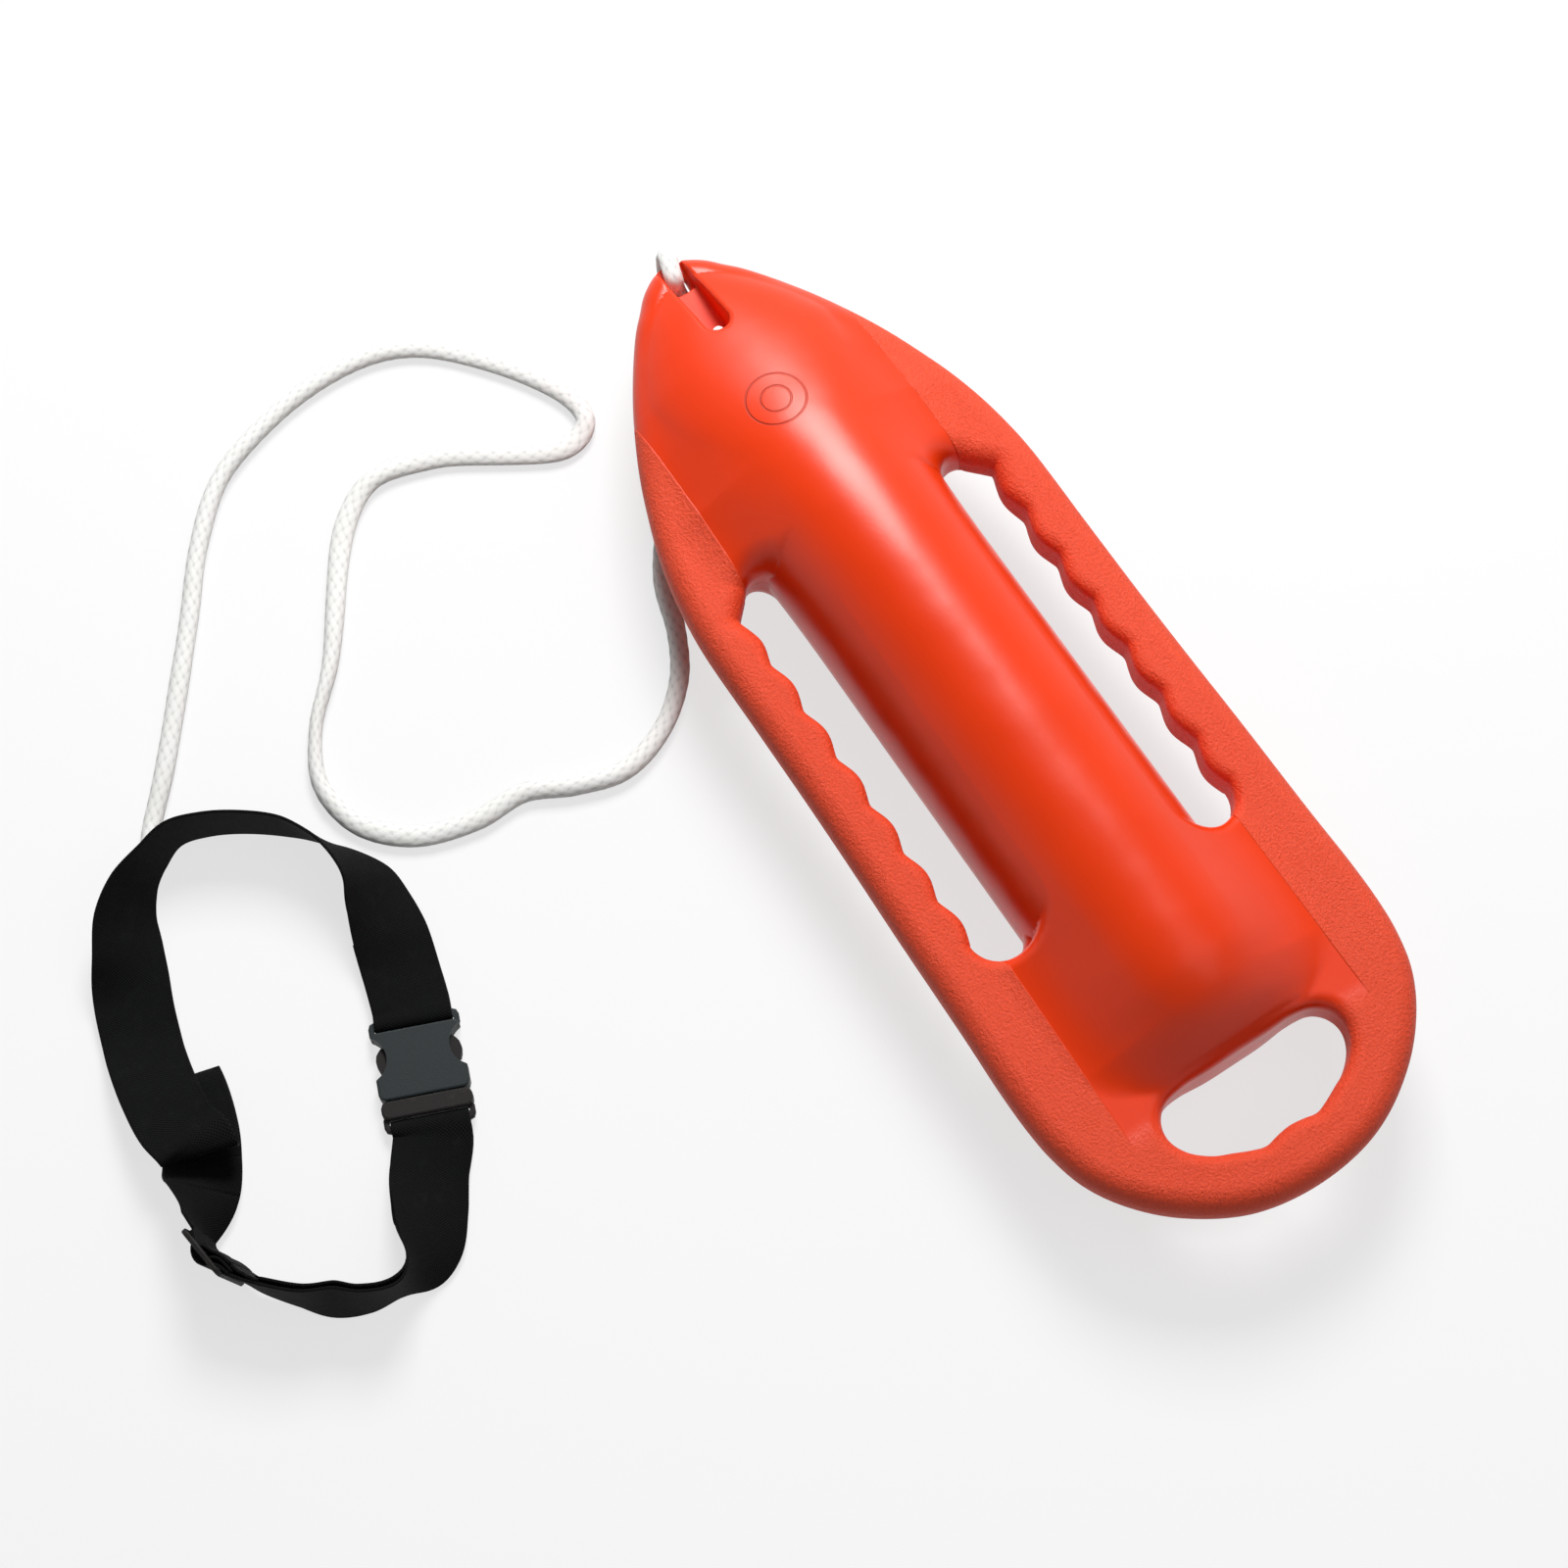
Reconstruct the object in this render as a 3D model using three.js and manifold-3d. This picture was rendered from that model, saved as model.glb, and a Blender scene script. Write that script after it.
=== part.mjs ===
// Rescue can buoy: a hollow moulded float with hand slots, a tow rope and a buckled shoulder belt.
// Millimetres, +Z up, +X towards the nose, the float's belly rests on Z = 0.
import * as THREE from 'three';
import { mergeVertices } from 'three/addons/utils/BufferGeometryUtils.js';
import Module from 'manifold-3d';

const wasm = await Module();
wasm.setup();

// Fits
const clearance = 0.3;
const cutOverrun = 5;

// Float: overall sizes
const floatLength = 720;
const floatWidth = 256;
const plateThickness = 33;
const plateEdgeRound = 12;
const hullRadiusShare = 0.257813;
const hullRadius = floatWidth * hullRadiusShare;
const bellyFlatDepth = 2;
const restHeight = hullRadius - bellyFlatDepth;
const skirtShare = 0.332031;
const skirtHalfWidth = floatWidth * skirtShare;
const wallThickness = 4;

// Side hand slots and rear hand hole: their edges as shares of the float's width and length
const slotInnerShare = 0.242188;
const slotOuterShare = 0.369531;
const slotFrontShare = 0.193056;
const slotRearShare = -0.210694;
const slotClearShare = 0.2;
const slotInnerEdge = floatWidth * slotInnerShare;
const slotClearEdge = floatWidth * slotClearShare;
const slotOuterEdge = floatWidth * slotOuterShare;
const slotFrontX = floatLength * slotFrontShare;
const slotRearX = floatLength * slotRearShare;
const lobeDepth = 4.5;
const lobeCount = 7;
const lobeSetBack = 18.7;
const lobeSetForward = 17.9;
const slotFrontRound = 11;
const lobeStartX = slotRearX + lobeSetBack;
const lobePitch = (slotFrontX - lobeSetForward - lobeStartX) / lobeCount;
const rearHoleFrontShare = -0.375833;
const rearHoleLengthShare = 0.075;
const rearHoleFrontX = floatLength * rearHoleFrontShare;
const rearHoleLength = floatLength * rearHoleLengthShare;
const rearHoleWidth = floatWidth / 2;

// Rope channel in the nose
const channelWidth = 17;
const channelLength = 75.5;
const channelRearX = floatLength / 2 - channelLength;
const webThickness = 10;
const noseTipShare = 0.4925;
const noseTipX = floatLength * noseTipShare;
const noseBarLength = 9.6;
const eyeLength = 16;
const eyeFrontX = noseTipX - noseBarLength;
const eyeRearX = eyeFrontX - eyeLength;
const eyeWidth = 14;
const tailHoleSetBack = 5;
const tailHoleX = channelRearX + tailHoleSetBack;
const tailHoleRadius = 4.2;
const pocketWidth = 29;
const pocketLength = 34;
const pocketFrontX = channelRearX + pocketLength;

// Vent plug
const ventShare = 0.263889;
const ventX = floatLength * ventShare;
const ventHeadRadius = 9;
const ventHeadThickness = 3;
const ventShankRadius = 4.5;
const ventShankLength = 9;
const ventSealThickness = 1.2;
const ventSealInnerRadius = 5;
const ventSeatHeight = 12;
const ventSlotWidth = 1.6;
const ventSlotDepth = 1.4;

// Rope
const ropeDiameter = 10;
const knotLength = 22;
const knotRadius = 12;
const knotSetBack = 4;
const beltKnotLength = 18;
const beltKnotRadius = 9;
const ropeTailRadius = 3.4;
const ropeTailRise = 22;
const ropeNoseX = 284.5;
const ropeNoseHeight = 64;
const ropeTiedPoints = 10;
const ropeEasedPoints = 6;

// Webbing and belt
const webbingWidth = 48;
const webbingThickness = 2;
const layerPitch = 2.4;
const loosePitch = 3.6;
const beltLoopLength = 320;
const beltCentreX = 50;
const beltCentreY = 465;
const strapJoinGap = 2.2;

// Buckle
const buckleBackShare = 0.194063;
const buckleInShare = 0.175313;
const buckleX = beltCentreX - buckleBackShare * beltLoopLength;
const buckleY = beltCentreY - buckleInShare * beltLoopLength;
const buckleTurnDegrees = 158;
const buckleThickness = 13;
const buckleSideWidth = 4;
const buckleWidth = webbingWidth + 2 * buckleSideWidth;
const buckleCornerRadius = 4;
const edgeRound = 1.2;
const socketLength = 43;
const waistRadius = 15;
const waistOutside = 6.4;
const waistBack = 27;
const faceWall = 2.75;
const sideWall = 5;
const rearWall = 8;
const barWidth = 4.6;
const barSlotLength = 3.6;
const webbingPlay = 1.4;
const barSlotWidth = webbingWidth + webbingPlay;
const tongueBaseLength = 11.5;
const tongueBaseThickness = 11;
const guideWidth = 9;
const guideLength = 33;
const guideThickness = 6.4;
const armLength = 33;
const armThickness = 3.4;
const armPadReach = 4;
const armRootGap = 0.7;

// Slider
const sliderLength = 36;
const sliderRail = 4;
const sliderBar = 4.4;
const sliderThickness = 3;

// Sewn loop that holds the rope at the belt
const tabWidth = 18;
const tabThickness = 1.4;

const colours = {
  float: 0xe8452a,
  plug: 0xd23a20,
  seal: 0x1c1c1c,
  rope: 0xf4f3ee,
  webbing: 0x161817,
  buckle: 0x383e40,
};

function material(colour, roughness, metalness) {
  return new THREE.MeshStandardMaterial({ color: colour, roughness, metalness });
}

const finishes = {
  float: material(colours.float, 0.42, 0),
  plug: material(colours.plug, 0.5, 0),
  seal: material(colours.seal, 0.7, 0),
  rope: material(colours.rope, 0.85, 0),
  webbing: material(colours.webbing, 0.9, 0),
  buckle: material(colours.buckle, 0.55, 0),
};

// Solids and their booleans
function solidOf(geometry) {
  const bare = geometry.index ? geometry.clone() : geometry;
  bare.deleteAttribute('normal');
  bare.deleteAttribute('uv');
  const merged = mergeVertices(bare, 1e-4);
  return new wasm.Manifold(new wasm.Mesh({
    numProp: 3,
    vertProperties: new Float32Array(merged.attributes.position.array),
    triVerts: new Uint32Array(merged.index.array),
  }));
}

function geometryOf(solid) {
  const mesh = solid.getMesh();
  const geometry = new THREE.BufferGeometry();
  geometry.setAttribute('position', new THREE.BufferAttribute(new Float32Array(mesh.vertProperties), 3));
  geometry.setIndex(new THREE.BufferAttribute(new Uint32Array(mesh.triVerts), 1));
  geometry.computeVertexNormals();
  return geometry;
}

// A closed solid through rings that all have the same number of points.
function skin(rings) {
  const points = rings.flat();
  const around = rings[0].length;
  const faces = [];
  for (let r = 0; r + 1 < rings.length; r += 1) {
    for (let k = 0; k < around; k += 1) {
      const a = r * around + k;
      const b = r * around + ((k + 1) % around);
      faces.push(a, b, b + around, a, b + around, a + around);
    }
  }
  for (const [first, flip] of [[0, true], [(rings.length - 1) * around, false]]) {
    const middle = points.length;
    const ring = points.slice(first, first + around);
    points.push(ring.reduce((sum, p) => sum.add(p), new THREE.Vector3()).divideScalar(around));
    for (let k = 0; k < around; k += 1) {
      const next = (k + 1) % around;
      faces.push(...(flip ? [first + next, first + k, middle] : [first + k, first + next, middle]));
    }
  }
  const geometry = new THREE.BufferGeometry().setFromPoints(points);
  geometry.setIndex(faces);
  return geometry;
}

function smoothClosed(points, count) {
  const line = new THREE.CatmullRomCurve3(points.map(([x, y]) => new THREE.Vector3(x, y, 0)), true, 'centripetal');
  return line.getSpacedPoints(count).slice(0, count).map((p) => new THREE.Vector2(p.x, p.y));
}

function prism(outline, low, high) {
  const geometry = new THREE.ExtrudeGeometry(new THREE.Shape(outline), { depth: high - low, bevelEnabled: false });
  return geometry.translate(0, 0, low);
}

function stadium(rearX, frontX, width, sides) {
  const radius = width / 2;
  const outline = [];
  for (let k = 0; k <= sides; k += 1) {
    const angle = -Math.PI / 2 + (Math.PI * k) / sides;
    outline.push(new THREE.Vector2(frontX - radius + radius * Math.cos(angle), radius * Math.sin(angle)));
  }
  for (let k = 0; k <= sides; k += 1) {
    const angle = Math.PI / 2 + (Math.PI * k) / sides;
    outline.push(new THREE.Vector2(rearX + radius + radius * Math.cos(angle), radius * Math.sin(angle)));
  }
  return outline;
}

function disc(radius, low, high, sides) {
  const geometry = new THREE.CylinderGeometry(radius, radius, high - low, sides);
  return geometry.rotateX(Math.PI / 2).translate(0, 0, (low + high) / 2);
}

// Half of the float's plan outline: shares of its length from the middle, and of its width.
const outlineShares = [
  [noseTipShare, 0], [0.4915, 0.0195], [0.4883, 0.039], [0.4818, 0.0715], [0.4747, 0.097], [0.4639, 0.125],
  [0.4517, 0.158], [0.429, 0.206], [0.3958, 0.2675], [0.363, 0.319], [0.3294, 0.3645], [0.2963, 0.401],
  [0.2643, 0.432], [0.2311, 0.456], [0.1985, 0.471], [0.165, 0.4795], [0.08, 0.481], [0, 0.482], [-0.07, 0.4855],
  [-0.14, 0.4905], [-0.24, 0.4955], [-0.297, 0.5], [-0.335, 0.498], [-0.363, 0.4895], [-0.3955, 0.465],
  [-0.4275, 0.412], [-0.4608, 0.32], [-0.4903, 0.175], [-0.5, 0],
];

function floatOutline(count) {
  const half = outlineShares.map(([x, y]) => [x * floatLength, y * floatWidth]);
  const other = half.slice(1, -1).reverse().map(([x, y]) => [x, -y]);
  return smoothClosed([...half, ...other], count).reverse();
}

// A side slot: straight along the hull, finger lobes along the handle, round ends, the front one on the hull's side.
function slotOutline(side, innerEdge = slotInnerEdge) {
  const middle = (innerEdge + slotOuterEdge) / 2;
  const radius = (slotOuterEdge - innerEdge) / 2;
  const frontMiddle = slotInnerEdge + slotFrontRound;
  const endSteps = 8;
  const lobeSteps = 5;
  const outline = [[slotFrontX - slotFrontRound, innerEdge]];
  for (let k = 1; k <= endSteps; k += 1) {
    const angle = THREE.MathUtils.degToRad(-90 + (150 * k) / endSteps);
    outline.push([slotFrontX + slotFrontRound * (Math.cos(angle) - 1), frontMiddle + slotFrontRound * Math.sin(angle)]);
  }
  for (let lobe = lobeCount - 1; lobe >= 0; lobe -= 1) {
    for (let k = 0; k < lobeSteps; k += 1) {
      const along = 1 - k / lobeSteps;
      const x = lobeStartX + (lobe + along) * lobePitch;
      outline.push([x, slotOuterEdge - lobeDepth * Math.sin(Math.PI * along)]);
    }
  }
  for (let k = 0; k <= endSteps; k += 1) {
    const angle = Math.PI / 2 + (Math.PI * k) / endSteps;
    outline.push([slotRearX + radius + radius * Math.cos(angle), middle + radius * Math.sin(angle)]);
  }
  const points = outline.map(([x, y]) => new THREE.Vector2(x, side * y));
  return side > 0 ? points : points.reverse();
}

// Half of the rear hole: shares of its length back from its front edge, and of its width.
const rearHoleShares = [
  [0.015, 0], [0.015, 0.16], [0, 0.31], [0.05, 0.42], [0.19, 0.482], [0.385, 0.5], [0.6, 0.464], [0.79, 0.375],
  [0.885, 0.29], [0.97, 0.21], [1.02, 0.143], [0.99, 0.075], [0.97, 0],
];

function rearHoleOutline(count) {
  const half = rearHoleShares.map(([back, y]) => [rearHoleFrontX - back * rearHoleLength, y * rearHoleWidth]);
  const other = half.slice(1, -1).reverse().map(([x, y]) => [x, -y]);
  return smoothClosed([...half, ...other], count);
}

function plateGeometry(inset, outlineCount, holeCount, roundSteps) {
  const shape = new THREE.Shape(floatOutline(outlineCount));
  shape.holes.push(new THREE.Path(slotOutline(1)), new THREE.Path(slotOutline(-1)));
  shape.holes.push(new THREE.Path(rearHoleOutline(holeCount)));
  const edge = plateEdgeRound - inset;
  const depth = plateThickness - 2 * plateEdgeRound;
  const geometry = new THREE.ExtrudeGeometry(shape, {
    depth,
    bevelEnabled: true,
    bevelThickness: edge,
    bevelSize: edge,
    bevelOffset: -plateEdgeRound,
    bevelSegments: roundSteps,
  });
  return geometry.translate(0, 0, restHeight - depth / 2);
}

// Hull stations: share of the length, breadth and height as shares of the radius, skirt as a share of its width.
const hullShares = [
  [-0.364, 0.52, 0.23, 0.72], [-0.354, 0.7, 0.54, 0.82], [-0.343, 0.83, 0.72, 0.92], [-0.326, 0.91, 0.86, 1],
  [-0.3, 0.945, 0.96, 1], [-0.264, 0.955, 1, 1], [0.1, 0.955, 1, 1], [0.153, 0.95, 0.985, 1], [0.208, 0.92, 0.94, 1],
  [0.264, 0.87, 0.865, 1], [0.31, 0.79, 0.755, 1], [0.361, 0.66, 0.61, 0.87], [0.4, 0.54, 0.5, 0.71],
  [0.43, 0.43, 0.41, 0.52], [0.4625, 0.3, 0.295, 0.31], [0.4745, 0.21, 0.25, 0.21], [0.4825, 0.08, 0.2, 0.09],
];
const hullBlendAngle = 38;
const skirtEdgeShare = 0.45;

// One closed ring of the hull: a round body that flows out into the flat skirt on both sides.
function hullRing([xShare, breadthShare, heightShare, skirtShare], inset, withSkirt) {
  const x = xShare * floatLength;
  const breadth = breadthShare * hullRadius - inset;
  const height = heightShare * hullRadius - inset;
  const quarter = [];
  const blend = THREE.MathUtils.degToRad(hullBlendAngle);
  if (withSkirt) {
    const skirt = skirtShare * skirtHalfWidth;
    const edge = skirtEdgeShare * plateThickness;
    const start = new THREE.Vector2(skirt, edge);
    const bend = new THREE.Vector2(Math.min(skirt, breadth * 1.07), Math.min(edge * 1.13, height * 0.98));
    const end = new THREE.Vector2(breadth * Math.cos(blend), Math.max(height * Math.sin(blend), edge * 1.02));
    const curve = new THREE.QuadraticBezierCurve(start, bend, end);
    quarter.push(...curve.getPoints(5));
  } else {
    for (const share of [0, 1 / 3, 2 / 3, 1]) {
      quarter.push(new THREE.Vector2(breadth * Math.cos(share * blend), height * Math.sin(share * blend)));
    }
  }
  for (const degrees of [49, 62, 75.9, 90]) {
    const angle = THREE.MathUtils.degToRad(degrees);
    const z = Math.max(height * Math.sin(angle), quarter[quarter.length - 1].y);
    quarter.push(new THREE.Vector2(breadth * Math.cos(angle), z));
  }
  const ring = [];
  const floor = restHeight - inset;
  const add = (y, z) => ring.push(new THREE.Vector3(x, y, restHeight + Math.max(z, -floor)));
  quarter.forEach((p) => add(p.x, p.y));
  quarter.slice(0, -1).reverse().forEach((p) => add(-p.x, p.y));
  quarter.slice(withSkirt ? 0 : 1).forEach((p) => add(-p.x, -p.y));
  quarter.slice(withSkirt ? 0 : 1, -1).reverse().forEach((p) => add(p.x, -p.y));
  return ring;
}

function hullGeometry(inset, withSkirt) {
  const stations = withSkirt ? hullShares : hullShares.slice(2, -4);
  return skin(stations.map((station) => hullRing(station, inset, withSkirt)));
}

function channelCut(grow) {
  const low = restHeight + webThickness / 2 - grow;
  const far = floatLength / 2 + channelWidth;
  const top = solidOf(prism(stadium(channelRearX - grow, far, channelWidth + 2 * grow, 6), low, low + 2 * hullRadius));
  const under = restHeight - webThickness / 2 + grow;
  const lower = solidOf(prism(stadium(channelRearX - grow, far, channelWidth + 2 * grow, 6), -cutOverrun, under));
  const pocket = solidOf(prism(
    stadium(channelRearX - grow, pocketFrontX + grow, pocketWidth + 2 * grow, 6), -cutOverrun, under));
  const eye = solidOf(prism(
    stadium(eyeRearX - grow, eyeFrontX + grow, eyeWidth + 2 * grow, 6), 0, 2 * restHeight));
  const tail = solidOf(disc(tailHoleRadius + grow, 0, 2 * restHeight, 14).translate(tailHoleX, 0, 0));
  return top.add(lower).add(pocket).add(eye).add(tail);
}

function ventSeatCut() {
  const bore = solidOf(disc(ventShankRadius + clearance, 0, ventSeatHeight + 3 * wallThickness, 20));
  const seat = solidOf(disc(ventHeadRadius + 2 * clearance, -cutOverrun, ventSeatHeight, 24));
  return bore.add(seat).translate([ventX, 0, 0]);
}

function hullShell() {
  let outer = solidOf(hullGeometry(0, true));
  for (const side of [1, -1]) {
    outer = outer.subtract(solidOf(prism(slotOutline(side, slotClearEdge), -cutOverrun, 3 * restHeight)));
  }
  outer = outer.add(solidOf(hullGeometry(0, false)));
  outer = outer.subtract(solidOf(prism(rearHoleOutline(36), -cutOverrun, 3 * restHeight)));
  outer = outer.add(solidOf(plateGeometry(0, 84, 44, 3)));
  const boss = solidOf(disc(ventHeadRadius + 2 * wallThickness, 0, ventSeatHeight + wallThickness, 16));
  const solidBar = solidOf(prism(stadium(eyeRearX, floatLength / 2, channelWidth, 6), 0, 2 * restHeight));
  const cavity = solidOf(hullGeometry(wallThickness, false))
    .add(solidOf(plateGeometry(wallThickness, 48, 24, 1)))
    .subtract(channelCut(wallThickness))
    .subtract(solidBar)
    .subtract(boss.translate([ventX, 0, 0]));
  const shell = outer.subtract(cavity).subtract(channelCut(0)).subtract(ventSeatCut());
  return geometryOf(shell);
}

function ventPlug() {
  const top = ventSeatHeight - ventSealThickness - 2 * clearance;
  const bottom = top - ventHeadThickness;
  const head = solidOf(disc(ventHeadRadius, bottom, top, 24));
  const shank = solidOf(disc(ventShankRadius, bottom, top + ventShankLength, 20));
  const slot = new THREE.BoxGeometry(2 * ventHeadRadius, ventSlotWidth, 2 * ventSlotDepth).translate(0, 0, bottom);
  return geometryOf(head.add(shank).subtract(solidOf(slot))).translate(ventX, 0, 0);
}

function ventSeal() {
  const low = ventSeatHeight - ventSealThickness - clearance;
  const high = low + ventSealThickness;
  const ring = solidOf(disc(ventHeadRadius, low, high, 24));
  const hole = solidOf(disc(ventSealInnerRadius, low - cutOverrun, high + cutOverrun, 20));
  return geometryOf(ring.subtract(hole)).translate(ventX, 0, 0);
}

// A rope is a round section drawn along a curve.
function ropeSection(diameter, sides) {
  const outline = [];
  for (let k = 0; k < sides; k += 1) {
    const angle = (2 * Math.PI * k) / sides;
    outline.push(new THREE.Vector2((diameter / 2) * Math.cos(angle), (diameter / 2) * Math.sin(angle)));
  }
  return new THREE.Shape(outline);
}

function ropeAlong(points, diameter, steps) {
  const curve = new THREE.CatmullRomCurve3(points.map((p) => new THREE.Vector3(...p)), false, 'centripetal');
  return new THREE.ExtrudeGeometry(ropeSection(diameter, 8), { steps, extrudePath: curve, bevelEnabled: false });
}

// The bight round the nose bar: under the tip, over it, down through the eye and back below the web.
function noseLoop() {
  const reach = ropeDiameter / 2 + 2 * clearance;
  const corner = reach * 0.3;
  const barTop = restHeight + webThickness / 2;
  const barLow = restHeight - webThickness / 2;
  const top = barTop + reach;
  const upper = barLow - reach;
  const lower = upper - ropeDiameter - clearance;
  const front = noseTipX + reach;
  const back = eyeFrontX - reach;
  const knotFace = channelRearX + knotSetBack + knotLength + clearance;
  return ropeAlong([
    [knotFace, 0, lower],
    [eyeRearX, 0, lower],
    [eyeFrontX, 0, lower],
    [front - 2 * reach, 0, lower + corner / 2],
    [front - reach / 2, 0, lower + reach],
    [front, 0, barLow],
    [front + corner / 4, 0, restHeight],
    [front, 0, barTop],
    [front - corner, 0, top - corner],
    [front - reach, 0, top + corner / 4],
    [eyeFrontX, 0, top],
    [back + corner, 0, top - corner],
    [back, 0, barTop],
    [back, 0, restHeight],
    [back - corner / 2, 0, barLow],
    [back - reach, 0, upper + corner / 3],
    [eyeRearX, 0, upper],
    [knotFace, 0, upper],
  ], ropeDiameter, 48);
}

// The stopper knot under the web, with the cut end of the rope standing up through the small rear hole.
function noseKnot() {
  const profile = [
    [0, 0], [0.62, 0.04], [0.9, 0.22], [1, 0.5], [0.9, 0.78], [0.62, 0.96], [0, 1],
  ].map(([r, along]) => new THREE.Vector2(r * knotRadius, along * knotLength));
  const top = restHeight - webThickness / 2 - clearance;
  const knot = new THREE.LatheGeometry(profile, 14).rotateZ(-Math.PI / 2);
  knot.translate(channelRearX + knotSetBack, 0, top - knotRadius);
  const tail = disc(ropeTailRadius, top - knotRadius, restHeight + ropeTailRise, 10).translate(tailHoleX, 0, 0);
  return geometryOf(solidOf(knot).add(solidOf(tail)));
}

// The free rope, from the knot under the nose to the eye at the belt, lying on the ground.
const ropePoints = [
  [299.5, 0, 34.2], [299, 2, 27], [295.5, 8, 19], [286.5, 20, 12], [274, 37, 7], [258, 56, 5.6], [230, 81, 5.6],
  [195.5, 105.5, 5.6],
  [160, 118, 5.6], [132, 134, 5.6], [109, 162, 5.6], [99, 196, 5.6], [107, 226, 5.6], [121, 256, 5.6],
  [122, 290, 5.6], [134, 328, 5.6], [161, 354, 5.6], [194, 360, 5.6], [228, 344, 5.6], [262, 313, 5.6],
  [341, 254, 5.6], [357, 224, 5.6], [348, 182, 5.6], [308, 108, 5.6], [316, 88, 5.6], [340, 88, 5.6],
  [408, 134, 5.6], [431, 168, 5.6], [437, 212, 5.6], [429, 262, 5.6], [411, 307, 5.6], [378, 342, 5.6],
  [337, 373, 5.6], [257, 437, 5.6], [229, 462, 5.6], [217, 470, 8.4], [207.2, 480, 10.4], [200.2, 490, 8.7],
  [193.8, 499, 6.9], [187.6, 507.2, 8.6],
];

// Its first stretch hangs from the knot, so it follows the nose and the height at which the float rests.
const ropeRoute = ropePoints.map(([x, y, z], k) => {
  const tie = Math.min(1, Math.max(0, (ropeTiedPoints - k) / ropeEasedPoints));
  const lowest = ropeDiameter / 2 + 2 * clearance;
  return [x + tie * (channelRearX - ropeNoseX), y, Math.max(lowest, z + tie * (restHeight - ropeNoseHeight))];
});

function towRope() {
  return ropeAlong(ropeRoute, ropeDiameter, 76);
}

// A flat strap: a rectangular section that follows stations of a centre point and a width direction.
// Only the stretch between two of the stations is made, and it stops short of any station inside the path.
const stepsPerStation = 3;
function strap(stations, width, thickness, from = 0, to = stations.length - 1) {
  const centres = new THREE.CatmullRomCurve3(stations.map((s) => s.point), false, 'centripetal');
  const widths = new THREE.CatmullRomCurve3(stations.map((s) => s.across), false, 'centripetal');
  const joinGap = (k) => strapJoinGap / 2 / stations[k].point.distanceTo(stations[k + 1].point);
  const last = stations.length - 1;
  const start = from > 0 ? from + joinGap(from) : from;
  const end = to < last ? to - joinGap(to - 1) : to;
  const steps = stepsPerStation * (to - from);
  const rings = [];
  for (let k = 0; k <= steps; k += 1) {
    const t = (start + ((end - start) * k) / steps) / last;
    const centre = centres.getPoint(t);
    const along = centres.getTangent(t);
    const across = widths.getPoint(t);
    across.addScaledVector(along, -across.dot(along)).normalize();
    const face = new THREE.Vector3().crossVectors(along, across);
    const corner = (a, f) => centre.clone()
      .addScaledVector(across, (a * width) / 2)
      .addScaledVector(face, (f * thickness) / 2);
    const ring = [corner(-1, -1), corner(1, -1), corner(1, 1), corner(-1, 1)];
    const lift = Math.max(0, clearance - Math.min(...ring.map((p) => p.z)));
    rings.push(ring.map((p) => p.setZ(p.z + lift)));
  }
  return skin(rings);
}

// The stations of a second layer, a given distance inside the first.
function layerInside(stations, distance) {
  return stations.map(({ point, across }, k) => {
    const before = stations[Math.max(k - 1, 0)].point;
    const after = stations[Math.min(k + 1, stations.length - 1)].point;
    const along = after.clone().sub(before).normalize();
    const face = new THREE.Vector3().crossVectors(along, across).normalize();
    return { point: point.clone().addScaledVector(face, -distance), across: across.clone() };
  });
}

// Stations on the lying belt: place as shares of the loop and of the webbing width, then the width direction.
// The strap never dips below the ground, also where a second layer lies under it.
function beltStations(rows, layers) {
  return rows.map(([a, b, c, x, y, z]) => {
    const across = new THREE.Vector3(x, y, z).normalize();
    const flat = Math.sqrt(1 - across.z * across.z);
    const stack = webbingThickness / 2 + clearance + layers * loosePitch;
    const lowest = (Math.abs(across.z) * webbingWidth) / 2 + flat * stack;
    const height = Math.max(c * webbingWidth, lowest);
    const point = new THREE.Vector3(beltCentreX + a * beltLoopLength, beltCentreY + b * beltLoopLength, height);
    return { point, across };
  });
}

const socketSideShares = [
  [0.056, -0.267, 0.1, 0.34, 0.93, 0.1], [0.113, -0.283, 0.155, 0.28, 0.92, 0.26],
];
const rightSideShares = [
  [0.176, -0.296, 0.29, 0.2, 0.8, 0.56], [0.234, -0.302, 0.396, 0.11, 0.63, 0.77],
  [0.295, -0.287, 0.467, -0.12, 0.35, 0.91], [0.343, -0.263, 0.49, -0.16, 0.13, 0.96],
  [0.397, -0.223, 0.508, 0, 0.1, 1], [0.452, -0.156, 0.51, -0.03, 0.03, 1], [0.487, -0.093, 0.51, -0.02, 0.03, 1],
  [0.503, -0.035, 0.508, 0.01, 0.08, 1], [0.485, 0.021, 0.496, 0.05, 0.23, 0.97],
  [0.457, 0.078, 0.438, 0.1, 0.51, 0.85], [0.413, 0.124, 0.352, 0.11, 0.72, 0.68],
  [0.352, 0.157, 0.26, 0.22, 0.82, 0.5], [0.277, 0.195, 0.1, 0.34, 0.92, 0.16], [0.195, 0.222, 0.11, 0.3, 0.95, 0.12],
];
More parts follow.
